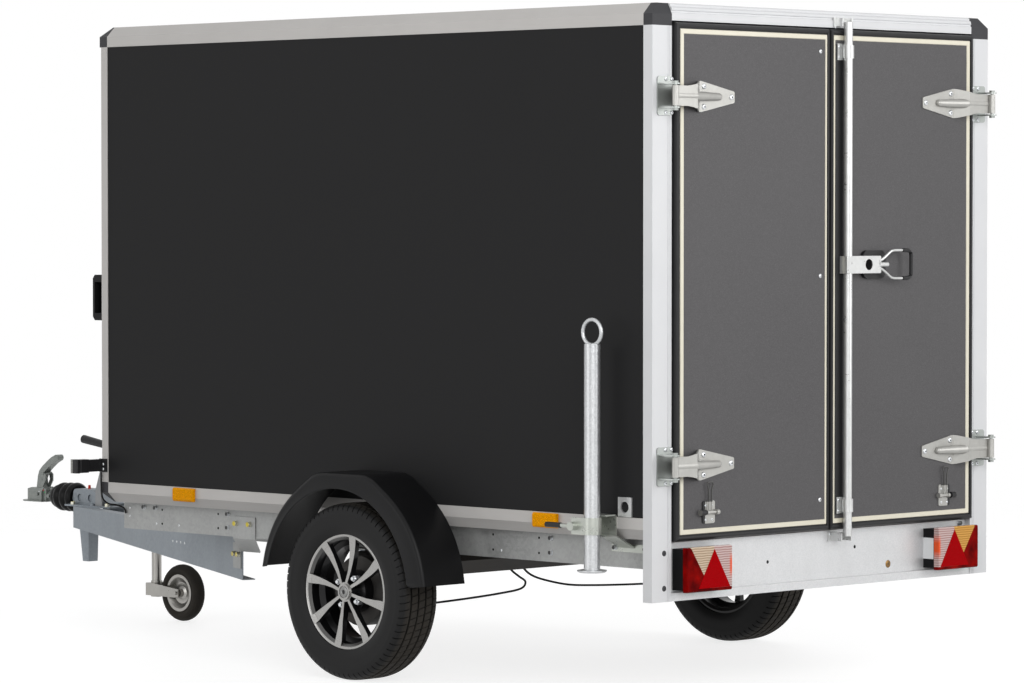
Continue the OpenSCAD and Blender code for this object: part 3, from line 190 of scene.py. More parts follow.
def through(route, steps):
    """Points on a Catmull-Rom curve through a route's points, so many steps a span."""
    p = np.array(route, float)
    a, b, c, d = p[np.r_[0, 0:len(p) - 2]], p[:-1], p[1:], p[np.r_[2:len(p), len(p) - 1]]
    t = (np.arange(steps) / steps)[None, :, None]
    a, b, c, d = (q[:, None] for q in (a, b, c, d))
    curve = 0.5 * (2 * b + (c - a) * t + (2 * a - 5 * b + 4 * c - d) * t**2 + (3 * b - a - 3 * c + d) * t**3)
    return np.concatenate([curve.reshape(-1, 3), p[-1:]])


# ---- shader helpers

def tinted(colour, share):
    """A colour made darker or lighter."""
    return tuple(min(1.0, share * c) for c in colour)


class Shader:
    """A material under construction: a Principled BSDF with short calls that add and link nodes."""

    def __init__(self, name, tree=None):
        if tree is None:
            self.material = bpy.data.materials.new(name)
            self.material.use_nodes = True
            tree = self.material.node_tree
            self.surface = tree.nodes["Principled BSDF"]
        self.tree = tree

    def node(self, kind, inputs=(), **settings):
        made = self.tree.nodes.new(kind)
        for key, value in settings.items():
            setattr(made, key, value)
        for key, value in dict(inputs).items():
            self.put(made.inputs[key], value)
        return made

    def put(self, socket, value):
        if isinstance(value, bpy.types.NodeSocket):
            self.tree.links.new(value, socket)
        elif isinstance(value, (tuple, list)) and len(value) == 3 and socket.type == "RGBA":
            socket.default_value = (*value, 1.0)
        else:
            socket.default_value = value

    def set(self, **values):
        """Sets or links the surface's inputs, with _ for a space."""
        for key, value in values.items():
            self.put(self.surface.inputs[key.replace("_", " ")], value)

    def coords(self, scale=(1.0, 1.0, 1.0)):
        where = self.node("ShaderNodeTexCoord").outputs["Object"]
        return self.node("ShaderNodeMapping", {"Vector": where, "Scale": scale}).outputs[0]

    def place(self, kind="Object"):
        """The point's place in the frame, or another of its coordinates, as separate X, Y and Z."""
        where = self.node("ShaderNodeTexCoord").outputs[kind]
        return self.node("ShaderNodeSeparateXYZ", {"Vector": where}).outputs

    def noise(self, where, scale, detail=3.0, out="Fac"):
        return self.node("ShaderNodeTexNoise", {"Vector": where, "Scale": scale,
                                                "Detail": detail}).outputs[out]

    def cells(self, where, scale, feature="F1", out="Distance"):
        return self.node("ShaderNodeTexVoronoi", {"Vector": where, "Scale": scale},
                         feature=feature).outputs[out]

    def prisms(self, scale, stretch=(1.0, 1.0, 1.0)):
        """The distance to the nearest edge of a honeycomb of cells."""
        return self.cells(self.coords(stretch), scale, "DISTANCE_TO_EDGE")

    def ribs(self, scale, distortion=0.0):
        """Level ribs, one above the other."""
        inputs = {"Vector": self.coords(), "Scale": scale, "Distortion": distortion}
        return self.node("ShaderNodeTexWave", inputs, bands_direction="Z").outputs["Fac"]

    def math(self, operation, *values):
        made = self.node("ShaderNodeMath", operation=operation)
        for socket, value in zip(made.inputs, values):
            self.put(socket, value)
        return made.outputs[0]

    def times(self, *values):
        """The product. Of masks it is 1 where all of them are."""
        return functools.reduce(functools.partial(self.math, "MULTIPLY"), values)

    def any_of(self, *masks):
        return functools.reduce(functools.partial(self.math, "MAXIMUM"), masks)

    def span(self, value, low_in, high_in, low_out=0.0, high_out=1.0):
        return self.node("ShaderNodeMapRange", {"Value": value, "From Min": low_in, "From Max": high_in,
                                                "To Min": low_out, "To Max": high_out}).outputs["Result"]

    def over(self, value, limit, edge=0.0004):
        """1 above the limit and 0 below it, with a soft edge."""
        return self.span(value, limit - edge, limit + edge)

    def under(self, value, limit, edge=0.0004):
        return self.span(value, limit - edge, limit + edge, 1.0, 0.0)

    def blend(self, mask, first, second):
        made = self.node("ShaderNodeMix", {"Factor": mask}, data_type="RGBA")
        self.put(made.inputs[6], first)
        self.put(made.inputs[7], second)
        return made.outputs[2]

    def bump(self, height, strength, distance):
        inputs = {"Height": height, "Strength": strength, "Distance": distance}
        return self.node("ShaderNodeBump", inputs).outputs["Normal"]

    def shade(self):
        """The shade that a new piece carries on its points."""
        return self.node("ShaderNodeAttribute", attribute_name="shade").outputs["Fac"]

    def group(self, name, **values):
        made = self.node("ShaderNodeGroup", node_tree=bpy.data.node_groups[name])
        for key, value in values.items():
            self.put(made.inputs[key], value)
        return made.outputs

    def mottle(self, size):
        return self.group("Mottle", Size=size)["Mask"]

    def pebble(self, scale):
        return self.group("Pebble", Scale=scale)["Height"]


def shade_group(name, inputs, outputs):
    """A shader node group with float inputs and outputs, and its own input and output nodes."""
    tree = bpy.data.node_groups.new(name, "ShaderNodeTree")
    for label, default in inputs.items():
        tree.interface.new_socket(label, in_out="INPUT",
                                  socket_type="NodeSocketFloat").default_value = default
    for label in outputs:
        tree.interface.new_socket(label, in_out="OUTPUT", socket_type="NodeSocketFloat")
    shader = Shader(name, tree)
    return shader, tree.nodes.new("NodeGroupInput").outputs, tree.nodes.new("NodeGroupOutput").inputs


def mottle_group():
    """Slow variation: two noises, one over the whole piece and one about a hand wide, averaged to 0..1."""
    shader, given, results = shade_group("Mottle", {"Size": 1.0}, ["Mask"])
    where = shader.coords()
    wide = shader.noise(where, shader.math("DIVIDE", 1.5, given["Size"]))
    narrow = shader.noise(where, shader.math("DIVIDE", 9.0, given["Size"]), 5.0)
    total = shader.math("ADD", wide, shader.times(narrow, 0.6))
    shader.put(results["Mask"], shader.span(total, 0.5, 1.1))


def spangle_group():
    """Zinc spangle: each cell of a Voronoi pattern has its own shade, softened by a fine noise."""
    shader, given, results = shade_group("Spangle", {"Scale": 160.0}, ["Mask", "Streaks"])
    where = shader.coords()
    shift = {0: shader.noise(where, 60.0, 2.0, "Color"), "Scale": 0.006}
    small = shader.node("ShaderNodeVectorMath", shift, operation="SCALE").outputs[0]
    warped = shader.node("ShaderNodeVectorMath", {0: where, 1: small}, operation="ADD").outputs[0]
    cell = shader.cells(warped, given["Scale"], out="Color")
    grey = shader.node("ShaderNodeSeparateColor", {"Color": cell}).outputs[0]
    haze = shader.noise(where, shader.times(given["Scale"], 1.7), 2.0)
    shader.put(results["Mask"], shader.math("ADD", shader.times(grey, 0.5), shader.times(haze, 0.5)))
    drips = shader.noise(shader.coords((14.0, 14.0, 1.6)), 1.0, 4.0)
    shader.put(results["Streaks"], shader.span(drips, 0.35, 0.7))


def grain_group():
    """Fine pebble grain: a Voronoi and a noise of the same size, mixed to one height."""
    shader, given, results = shade_group("Pebble", {"Scale": 900.0}, ["Height"])
    where = shader.coords()
    pebble = shader.cells(where, given["Scale"], "SMOOTH_F1")
    speck = shader.noise(where, given["Scale"], 2.0)
    shader.put(results["Height"], shader.math("ADD", pebble, shader.times(speck, 0.6)))


# ---- finishes

def coated(name, size, tones, rough, relief, drawn=None, grain=None, **values):
    """An even coat: a mottle between two tones, over a relief of drawn lines, pebble grain or the mottle.

    Drawn is the lines' scale and detail. A pair of roughnesses is a span over the lines or the mottle."""
    coat = Shader(name)
    mottle = height = coat.mottle(size)
    reach = (0.0, 1.0)
    if drawn:
        height, reach = coat.noise(coat.coords(drawn[0]), 1.0, drawn[1]), (0.3, 0.7)
    if isinstance(rough, tuple):
        rough = coat.span(height, *reach, *rough)
    if grain:
        height = coat.pebble(grain)
    coat.set(Base_Color=coat.blend(mottle, *tones), Roughness=rough, Normal=coat.bump(height, *relief),
             **values)


def door_skin():
    """Charcoal door board with a fine hexagonal film print that catches the light."""
    skin = Shader("Door board skin")
    grain = skin.pebble(520.0)
    speck = skin.span(grain, 0.35, 1.0)
    tone = skin.blend(skin.mottle(0.8), (0.050, 0.048, 0.050), (0.060, 0.058, 0.060))
    skin.set(Base_Color=skin.blend(speck, tone, (0.086, 0.083, 0.086)), Specular_IOR_Level=0.3,
             Roughness=skin.span(speck, 0.0, 1.0, 0.62, 0.45), Normal=skin.bump(grain, 0.22, 0.0004))


def galvanised(name, dark, light, rough=(0.42, 0.6), metal=0.55, scale=110.0, run=0.25):
    """Hot-dip zinc: spangle, pale run marks and slow greying."""
    zinc = Shader(name)
    spangle = zinc.group("Spangle", Scale=scale)
    tone = zinc.blend(spangle["Mask"], dark, light)
    tone = zinc.blend(zinc.times(zinc.mottle(0.5), 0.3), tone, tinted(light, 0.7))
    tone = zinc.blend(zinc.times(spangle["Streaks"], run), tone, tinted(light, 1.12))
    zinc.set(Base_Color=tone, Metallic=metal, Roughness=zinc.span(spangle["Mask"], 0.0, 1.0, *rough),
             Normal=zinc.bump(zinc.pebble(700.0), 0.12, 0.0004))


def bright_zinc(name, black=None, tint=(0.60, 0.605, 0.60), metal=0.7, rough=0.26):
    """Bright plated steel, a little cloudy, and black where the mask says: black plastic, and on the lock
    handle also painted shadow.
    """
    zinc = Shader(name)
    cloud = zinc.mottle(0.10)
    tone = zinc.blend(cloud, tinted(tint, 0.90), tinted(tint, 1.06))
    shine, polish = metal, zinc.span(cloud, 0.0, 1.0, rough, rough + 0.07)
    if black:
        mask = black(zinc)
        tone = zinc.blend(mask, tone, (0.010, 0.010, 0.011))
        shine = zinc.span(mask, 0.0, 1.0, metal, 0.0)
        polish = zinc.any_of(polish, zinc.times(mask, 0.42))
        zinc.set(Specular_IOR_Level=0.3)
    fine = zinc.noise(zinc.coords(), 700.0, 2.0)
    zinc.set(Base_Color=tone, Metallic=shine, Roughness=polish, Normal=zinc.bump(fine, 0.03, 0.0001))


def screw_zinc(name, tint, floor=(0.03, 0.03, 0.03)):
    """Plated screws: a bright head whose recess, where the shade is 1, has the floor's colour. On the plain
    screws that dark floor is painted shade in the recess.
    """
    zinc = Shader(name)
    mottle, dark = zinc.mottle(0.02), zinc.shade()
    tone = zinc.blend(mottle, tinted(tint, 0.8), tint)
    # the floor colour over the recess: painted shade on the plain screws
    zinc.set(Base_Color=zinc.blend(dark, tone, floor), Metallic=zinc.span(dark, 0.0, 1.0, 0.85, 0.2),
             Roughness=zinc.span(mottle, 0.0, 1.0, 0.25, 0.4))


def moulded(name, colour, rough, strength, gloss=0.2):
    """Moulded plastic or rubber with an even pebble grain."""
    plastic = Shader(name)
    grain = plastic.pebble(900.0)
    plastic.set(Base_Color=plastic.blend(plastic.mottle(0.4), colour, tinted(colour, 1.35)),
                Roughness=plastic.span(grain, 0.2, 1.2, rough - 0.06, rough + 0.08), Specular_IOR_Level=gloss,
                Normal=plastic.bump(grain, strength, 0.0004))


def tyre_rubber():
    """Road rubber: a dusty brown-grey tread, darker in the grooves, on black sidewalls."""
    rubber = Shader("Tyre rubber")
    where, hub = rubber.place(), middle("tyre_left")
    r = rubber.math("SQRT", rubber.math("ADD", *(
        rubber.math("POWER", rubber.math("SUBTRACT", where["XYZ"[k]], hub[k]), 2.0) for k in (0, 2))))
    top = high("tyre_left")[2] - hub[2]
    worn = rubber.span(rubber.noise(rubber.coords(), 40.0, 4.0), 0.2, 0.7, 0.45, 1.0)
    dust = rubber.times(rubber.span(r, top - 7.5 * MM, top - 0.5 * MM), worn)
    rubber.set(Base_Color=rubber.blend(dust, (0.0095, 0.0095, 0.0098), (0.044, 0.039, 0.033)),
               Roughness=rubber.span(dust, 0.0, 1.0, 0.50, 0.85), Specular_IOR_Level=0.16,
               Normal=rubber.bump(rubber.pebble(500.0), 0.2, 0.0003))


def floor_board():
    """Dark film-faced floor board with a hexagonal anti-slip print."""
    board = Shader("Floor board")
    line = board.span(board.prisms(70.0), 0.02, 0.12)
    board.set(Base_Color=board.blend(board.mottle(0.9), (0.055, 0.030, 0.018), (0.085, 0.048, 0.028)),
              Roughness=board.span(line, 0.0, 1.0, 0.35, 0.55), Normal=board.bump(line, 0.25, 0.0006))


def wheel_alloy():
    """Alloy wheel: turned bright faces that look outwards, dark lacquer on the sides and in the pockets."""
    alloy = Shader("Two-tone alloy")
    outward = alloy.math("ABSOLUTE", alloy.place("Normal")["Y"])
    out, front = alloy.math("ABSOLUTE", alloy.place()["Y"]), high("rim_left")[1]
    spokes = alloy.times(alloy.span(outward, 0.72, 0.8), alloy.span(out, front - 30 * MM, front - 26 * MM))
    bright = alloy.any_of(spokes, alloy.over(out, front - 8.5 * MM))
    turned = alloy.noise(alloy.coords((900.0, 3.0, 900.0)), 1.0, 1.0)
    alloy.set(Base_Color=alloy.blend(bright, (0.006, 0.006, 0.0065), (0.34, 0.335, 0.325)),
              Metallic=alloy.span(bright, 0.0, 1.0, 0.2, 0.95),
              Roughness=alloy.span(alloy.times(bright, turned), 0.0, 1.0, 0.30, 0.22),
              Specular_IOR_Level=0.2, Coat_Weight=0.25, Coat_Roughness=0.12)


def amber_lens():
    """Moulded amber lens over fine prisms."""
    glass = Shader("Amber lens")
    prisms = glass.prisms(240.0)
    glass.set(Base_Color=glass.blend(glass.span(prisms, 0.0, 0.3), (0.6, 0.24, 0.0), (1.0, 0.40, 0.0)),
              Roughness=0.12, Specular_IOR_Level=0.03, Normal=glass.bump(prisms, 0.3, 0.0006))


LAMP_WIDE, LAMP_BASE, WINDOW_DEEP, PROUD_TO = 193 * MM, 21 * MM, 26 * MM, 0.6 * MM


def tail_lens():
    """Tail lamp: black base, red raised triangle, a red field beside it, ribbed pale fields over its sides.

    Across the lens u runs from 0 at its inner edge to 1 at its outer one, and w from 0 at the bottom to 1."""
    lamp = Shader("Tail lamp")
    place, (depth, _, bottom), (_, outer, top) = lamp.place(), low("tail_lamps"), high("tail_lamps")
    u = lamp.span(lamp.math("ABSOLUTE", place["Y"]), outer - LAMP_WIDE, outer)
    w = lamp.span(place["Z"], bottom, top)
    base = lamp.over(place["X"], depth + LAMP_BASE)
    proud = lamp.under(place["X"], depth + PROUD_TO, 0.0002)
    on_right = lamp.under(place["Y"], 0.0)
    field = lamp.over(lamp.math("SUBTRACT", u, lamp.times(w, 0.463)), 0.464, 0.004)
    foot = lamp.under(w, 0.075, 0.004)
    window = lamp.times(on_right, lamp.under(u, 0.045), lamp.over(w, 0.25), lamp.under(w, 0.75),
                        lamp.over(place["X"], depth + WINDOW_DEEP))
    ribs = lamp.ribs(45.0, 1.5)
    prisms = lamp.prisms(210.0, (1.0, 1.0, 0.6))
    pale = lamp.blend(ribs, (0.34, 0.24, 0.16), (0.62, 0.50, 0.38))
    pale = lamp.blend(on_right, pale, lamp.blend(ribs, (0.42, 0.20, 0.04), (0.66, 0.36, 0.10)))
    pink = lamp.blend(ribs, (0.36, 0.20, 0.19), (0.60, 0.48, 0.46))
    glint = lamp.times(lamp.under(u, 0.045, 0.02), lamp.over(w, 0.35, 0.1), lamp.under(w, 0.75, 0.1))
    clear = lamp.blend(lamp.under(u, 0.40, 0.01), pale, lamp.blend(glint, pink, (0.75, 0.10, 0.03)))
    glow = lamp.span(lamp.noise(lamp.coords(), 22.0, 2.0), 0.35, 0.75)
    face = lamp.blend(lamp.any_of(field, foot), clear,
                      lamp.blend(glow, (0.07, 0.0, 0.0005), (0.30, 0.002, 0.001)))
    raised = lamp.blend(lamp.span(prisms, 0.0, 0.4), (0.30, 0.0, 0.001), (0.38, 0.0, 0.003))
    face = lamp.blend(proud, face, raised)
    tone = lamp.blend(base, face, lamp.blend(window, (0.014, 0.014, 0.015), (0.72, 0.73, 0.74)))
    lamp.set(Base_Color=tone, Roughness=lamp.span(base, 0.0, 1.0, 0.14, 0.45), Specular_IOR_Level=0.02,
             Normal=lamp.bump(lamp.math("ADD", prisms, lamp.times(ribs, 0.3)), 0.25, 0.0005))


def front_lens():
    """Front lamp: a black moulded arm under a thin coat, and a pale ribbed lens at its end."""
    lamp = Shader("Front lamp")
    place, corner = lamp.place(), high("front_lamps")
    end = lamp.times(lamp.over(lamp.math("ABSOLUTE", place["Y"]), corner[1] - 48 * MM),
                     lamp.over(place["X"], corner[0] - 14 * MM))
    pale = lamp.blend(lamp.ribs(60.0), (0.24, 0.24, 0.22), (0.42, 0.42, 0.40))
    lamp.set(Base_Color=lamp.blend(end, (0.016, 0.016, 0.017), pale),
             Roughness=lamp.span(end, 0.0, 1.0, 0.42, 0.15), Specular_IOR_Level=0.2, Coat_Weight=0.1,
             Normal=lamp.bump(lamp.pebble(900.0), 0.15, 0.0003))


def on_lock_grip_and_shadow(zinc):
    """The lock handle's loop end, and the pad behind its plate, whose black is painted shadow of the plate."""
    place = zinc.place()
    grip = zinc.under(place["Y"], low("lock_bar")[1] + 50 * MM)
    # painted shadow: the handle's back against the leaf is made black
    pad = zinc.times(zinc.over(place["X"], at(-26, 0, 0)[0]), zinc.under(place["Y"], -140 * MM))
    return zinc.any_of(grip, pad)


def on_clamp_lever(zinc):
    """The far end of the prop clamp's lever."""
    return zinc.over(zinc.place()["X"], at(258, 0, 0)[0])


def on_brake_grip(zinc):
    """The handbrake lever's grip, above its arm."""
    return zinc.over(zinc.place()["Z"], 585 * MM)


def on_hook_knob(zinc):
    """The outer knob of the door hold-back, and its wire hook above the plate."""
    place = zinc.place()
    out = zinc.math("ABSOLUTE", place["Y"])
    knob = zinc.times(zinc.over(out, 562 * MM), zinc.under(out, 590 * MM), zinc.under(place["Z"], 600 * MM))
    wire = zinc.times(zinc.over(out, 529 * MM), zinc.under(out, 563 * MM), zinc.under(place["Z"], 652 * MM),
                      zinc.over(place["Z"], 588 * MM), 0.82)
    return zinc.any_of(knob, wire)


def make_finishes():
    """Builds the shared node groups, then every finish."""
    for make in (mottle_group, spangle_group, grain_group, door_skin, tyre_rubber, floor_board, wheel_alloy,
                 amber_lens, tail_lens, front_lens):
        make()
    coated("Dark panel skin", 1.3, ((0.0075, 0.0075, 0.008), (0.0105, 0.0105, 0.011)), (0.50, 0.60),
           (0.12, 0.0004), grain=420.0, Specular_IOR_Level=0.14)
    coated("Pale coated aluminium", 1.0, ((0.60, 0.605, 0.62), (0.655, 0.66, 0.67)), (0.38, 0.5),
           (0.05, 0.0002), drawn=((3.0, 3.0, 700.0), 2.0))
    coated("Satin rail", 1.0, ((0.47, 0.455, 0.44), (0.52, 0.505, 0.49)), (0.34, 0.46), (0.08, 0.0002),
           drawn=((2.0, 500.0, 500.0), 3.0), Metallic=0.12, Specular_IOR_Level=0.2)
    coated("Cream edging", 0.3, ((0.66, 0.62, 0.50), (0.72, 0.685, 0.57)), 0.42, (0.08, 0.0003), grain=600.0)
    coated("Pale roof skin", 1.2, ((0.60, 0.61, 0.61), (0.67, 0.67, 0.66)), 0.6, (0.05, 0.002),
           Specular_IOR_Level=0.15)
    coated("Dark iron", 0.3, ((0.022, 0.021, 0.020), (0.055, 0.050, 0.045)), (0.5, 0.7), (0.2, 0.001),
           Metallic=0.4)
    galvanised("Galvanised sheet", (0.27, 0.275, 0.27), (0.40, 0.405, 0.40))
    galvanised("Drawbar zinc", (0.20, 0.225, 0.25), (0.32, 0.35, 0.38), rough=(0.45, 0.65))
    galvanised("Cast and pressed zinc", (0.17, 0.185, 0.175), (0.27, 0.285, 0.27), rough=(0.35, 0.5),
               metal=0.7)
    galvanised("Pale zinc sheet", (0.50, 0.51, 0.52), (0.68, 0.68, 0.685), (0.34, 0.5), 0.45, scale=330.0,
               run=0.1)
    galvanised("Galvanised tube", (0.36, 0.37, 0.38), (0.62, 0.63, 0.64), (0.25, 0.42), 0.75, scale=180.0)
    bright_zinc("Bright zinc")
    # its black is the grip's plastic and painted shadow behind the handle plate
    bright_zinc("Bright zinc, black grip and painted shadow", on_lock_grip_and_shadow)
    bright_zinc("Bright zinc, black lever end", on_clamp_lever, (0.46, 0.48, 0.44))
    bright_zinc("Bright zinc, black knob", on_hook_knob, (0.40, 0.395, 0.375), metal=0.6, rough=0.34)
    bright_zinc("Greenish zinc", None, (0.37, 0.39, 0.375), rough=0.34)
    bright_zinc("Grey steel, black grip", on_brake_grip, (0.27, 0.275, 0.28), rough=0.4)
    bright_zinc("Grey wheel zinc", None, (0.36, 0.35, 0.33), metal=0.9)
    # its default dark floor is painted shade in the recesses of the screw heads
    screw_zinc("Screw zinc", (0.72, 0.74, 0.76))
    screw_zinc(YELLOW, (0.60, 0.59, 0.50), floor=(0.62, 0.50, 0.05))
    screw_zinc("Hub cap", (0.26, 0.26, 0.255), floor=(0.003, 0.003, 0.003))
    screw_zinc("Brown plug", (0.24, 0.14, 0.05), floor=(0.10, 0.06, 0.02))
    moulded("Black moulding", (0.0042, 0.0042, 0.0046), 0.40, 0.22, gloss=0.16)
    moulded("Grey cap plastic", (0.035, 0.035, 0.038), 0.5, 0.12)
    moulded("Black rubber", (0.0055, 0.0055, 0.0058), 0.3, 0.12, gloss=0.12)
    moulded("Door seal rubber", (0.016, 0.016, 0.017), 0.36, 0.08)
    # near-black discs that paint the shade inside holes and slots
    moulded("Dark hole", (0.004, 0.004, 0.004), 0.8, 0.3, gloss=0.1)
    moulded("Red plastic", (0.60, 0.030, 0.012), 0.35, 0.05)
    moulded("Green plastic", (0.10, 0.42, 0.16), 0.35, 0.05)


FINISH_OF = {
    "Dark panel skin": "side_panels front_panel",
    "Door board skin": "door_left_panel door_right_panel",
    "Cream edging": "door_left_trim door_right_trim",
    "Door seal rubber": "door_left_seal door_right_seal",
    "Black rubber": "brake_cables lamp_leads overrun_bellows",
    "Pale coated aluminium": "rear_frame",
    "Satin rail": "side_rails front_frame",
    "Grey cap plastic": "corner_caps",
    "Pale roof skin": "roof_panel",
    "Floor board": "cargo_floor",
    "Pale zinc sheet": "rear_crossmember",
    "Galvanised tube": "stand_left stand_right",
    "Galvanised sheet": "chassis_rails chassis_crossbars brake_linkage drawbar_brackets",
    "Drawbar zinc": "drawbar_beams drawbar_foot overrun_housing",
    "Cast and pressed zinc": "coupling_head coupling_handle",
    "Greenish zinc": "hinge_brackets",
    "Bright zinc": "door_keepers",
    "Grey wheel zinc": "nose_wheel_clamp nose_leg nose_fork nose_rim",
    "Bright zinc, black grip and painted shadow": "lock_bar",
    "Bright zinc, black lever end": "stand_clamps",
    "Bright zinc, black knob": "door_left_hinges door_right_hinges",
    "Black moulding": "mudguard_left mudguard_right front_handles",
    "Grey steel, black grip": "handbrake_lever",
    "Dark iron": "axle_beam drum_left drum_right",
    "Two-tone alloy": "rim_left rim_right",
    "Tyre rubber": "tyre_left tyre_right nose_tyre",
    "Tail lamp": "tail_lamps",
    "Amber lens": "side_markers",
    "Front lamp": "front_lamps",
}


def dress(material, nodes):
    """Gives CAD nodes a finish."""
    for node in nodes.split():
        mesh = NODES[node].data
        mesh.materials.clear()
        mesh.materials.append(bpy.data.materials[material])


class TRAILER_OT_finishes(Operator):
    """Makes the finishes and gives every CAD node its own"""

    bl_idname = "trailer.finishes"
    bl_label = "Finishes"

    def execute(self, context):
        make_finishes()
        for material, nodes in FINISH_OF.items():
            dress(material, nodes)
        return {"FINISHED"}


# ---- cables

BRAKE_CABLE = (
    (1353.7, 30, 312), (1345, 30, 311), (1322, 30, 280), (1286, 30, 260), (1240, 46, 246),
    (1198, 110, 230), (1186, 220, 222), (1180, 360, 216), (1176, 500, 212), (1172, 620, 210),
    (1168, 690, 211), (1164, 735, 216), (1161, 765, 226), (1160, 776, 228), (1160, 782.7, 228))
LEAD_CORNER = np.array((2500, 775, 481))
LAMP_LEAD = (
    (-6, 4, 98.5), (-8, 5.5, 70), (-10, 6, 43), (-12, 2, 11), (-16, -19, -7), (-22, -49, -13),
    (-30, -73, -23), (-38, -76, -41))


class TrailerCables(PropertyGroup):
    brake_cable: FloatProperty(
        name="Brake cable", description="Diameter of the brake cables", unit="LENGTH", default=0.007,
        min=0.004)
    lamp_lead: FloatProperty(
        name="Lamp lead", description="Diameter of the front lamps' leads", unit="LENGTH", default=0.006,
        min=0.003)
    steps: IntProperty(
        name="Steps", description="Points on the curve for each span of a route", default=6, min=2, max=16)


class TRAILER_OT_cables(Operator):
    """Makes the brake cables under the floor and the leads of the front lamps"""

    bl_idname = "trailer.cables"
    bl_label = "Cables"

    def execute(self, context):
        sizes = context.scene.trailer_cables
        for side, sign in SIDES.items():
            brake = [at(x, sign * y, z) for x, y, z in BRAKE_CABLE]
            lead = [at(x, sign * y, z) for x, y, z in LEAD_CORNER + np.array(LAMP_LEAD)]
            self.cable(f"brake_cable_{side}", brake, sizes.brake_cable, sizes.steps, "brake_cables")
            self.cable(f"lamp_lead_{side}", lead, sizes.lamp_lead, sizes.steps, "lamp_leads")
        return {"FINISHED"}

    def cable(self, name, route, diameter, steps, node):
        """A round cable on the smooth curve through its route, as one open spline with capped ends."""
        points = through(route, steps)
        curve = bpy.data.curves.new(name, "CURVE")
        curve.dimensions = "3D"
        spline = curve.splines.new("POLY")
        spline.points.add(len(points) - 1)
        spline.points.foreach_set("co", np.c_[points, np.ones(len(points))].ravel())
        curve.bevel_depth = diameter / 2
        curve.bevel_resolution = 4
        curve.use_fill_caps = True
        curve.materials.append(bpy.data.materials["Black rubber"])
        piece = add_object(name, curve)
        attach(piece, "trailer")
        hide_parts(node)


# ---- road tyres

RIBS = ((0.0, 11.4), (18.6, 41.4), (48.6, 62.0))
PITCH = np.array([0, 0.03, 0.12, 0.15, 0.33, 0.50, 0.53, 0.62, 0.65, 0.83])
SHOULDER_CUT, RIB_CUT = (1, 2), (6, 7)
RIBS_TO, SHOULDER_FROM = 42 * MM, 49 * MM
WIDEST_ABOVE_BEAD, SHOULDER, BELLY = 34 * MM, 20 * MM, 9 * MM
SEAT_IN, SEAT_DEEP, RIM_GAP = 20.8 * MM, 12 * MM, 0.3 * MM
SIDEWALL_RINGS, RING_HALF = (205, 240), 1.6 * MM


class TrailerTyres(PropertyGroup):
    pitches: IntProperty(
        name="Pitches", description="Tread blocks round the tyre", default=72, min=40, max=90)
    groove: FloatProperty(
        name="Groove", description="Depth of the grooves round the tyre", unit="LENGTH", default=0.007)
    shoulder_cut: FloatProperty(
        name="Shoulder cut", description="Depth of the cuts across the shoulders", unit="LENGTH",
        default=0.0045)
    rib_cut: FloatProperty(
        name="Rib cut", description="Depth of the cuts across the inner ribs", unit="LENGTH", default=0.0035)
    slant: FloatProperty(
        name="Slant", description="Turn of the cuts from straight across", subtype="ANGLE", unit="ROTATION",
        default=math.radians(14.0))
    ring: FloatProperty(
        name="Ring", description="Height of the thin rings on the sidewalls", unit="LENGTH", default=0.0006)


def half_section(half, r_top, r_bead, seat):
    """Half of a tyre's section from the middle of the tread to the bead: rows of y, r, groove and cut zone.

    Above the widest place the section is the superellipse |y / half|^5 + |(r - widest) / rise|^5 = 1. Below
    it the sidewall comes in by a parabola, the belly, and the bead turns in to its seat. The groove is 1
    between the ribs. Zone 1 is cut by the shoulder's cuts and zone 2 by the ribs' cuts."""
    widest = r_bead + WIDEST_ABOVE_BEAD
    rise = r_top - widest
    y, groove = [], []
    for (a, b), after in zip(RIBS, (*RIBS[1:], None)):
        y += list(np.linspace(a, b, 5))
        groove += [0.0] * 5
        if after:
            y += list(np.linspace(b + 0.5, after[0] - 0.5, 3))
            groove += [1.0] * 3
    y = np.array(y) * MM
    r = widest + rise * (1 - (y / half)**5)**0.2
    flank_r = np.linspace(r[-1], widest, 14)[1:]
    flank_y = half * (1 - ((flank_r - widest) / rise)**5)**0.2
    low_r = np.linspace(widest, r_bead, 7)[1:]
    low_y = half - BELLY * ((widest - low_r) / (widest - r_bead))**2
    y = np.r_[y, flank_y, low_y, seat, seat]
    r = np.r_[r, flank_r, low_r, r_bead, r_bead - SEAT_DEEP]
    groove = np.r_[groove, np.zeros(len(y) - len(groove))]
    zone = np.where((y > SHOULDER_FROM) & (r > r_top - SHOULDER), 1,
                    np.where((y < RIBS_TO) & (groove == 0), 2, 0))
    zone[r < r_top - SHOULDER] = 0
    return y, r, groove, zone


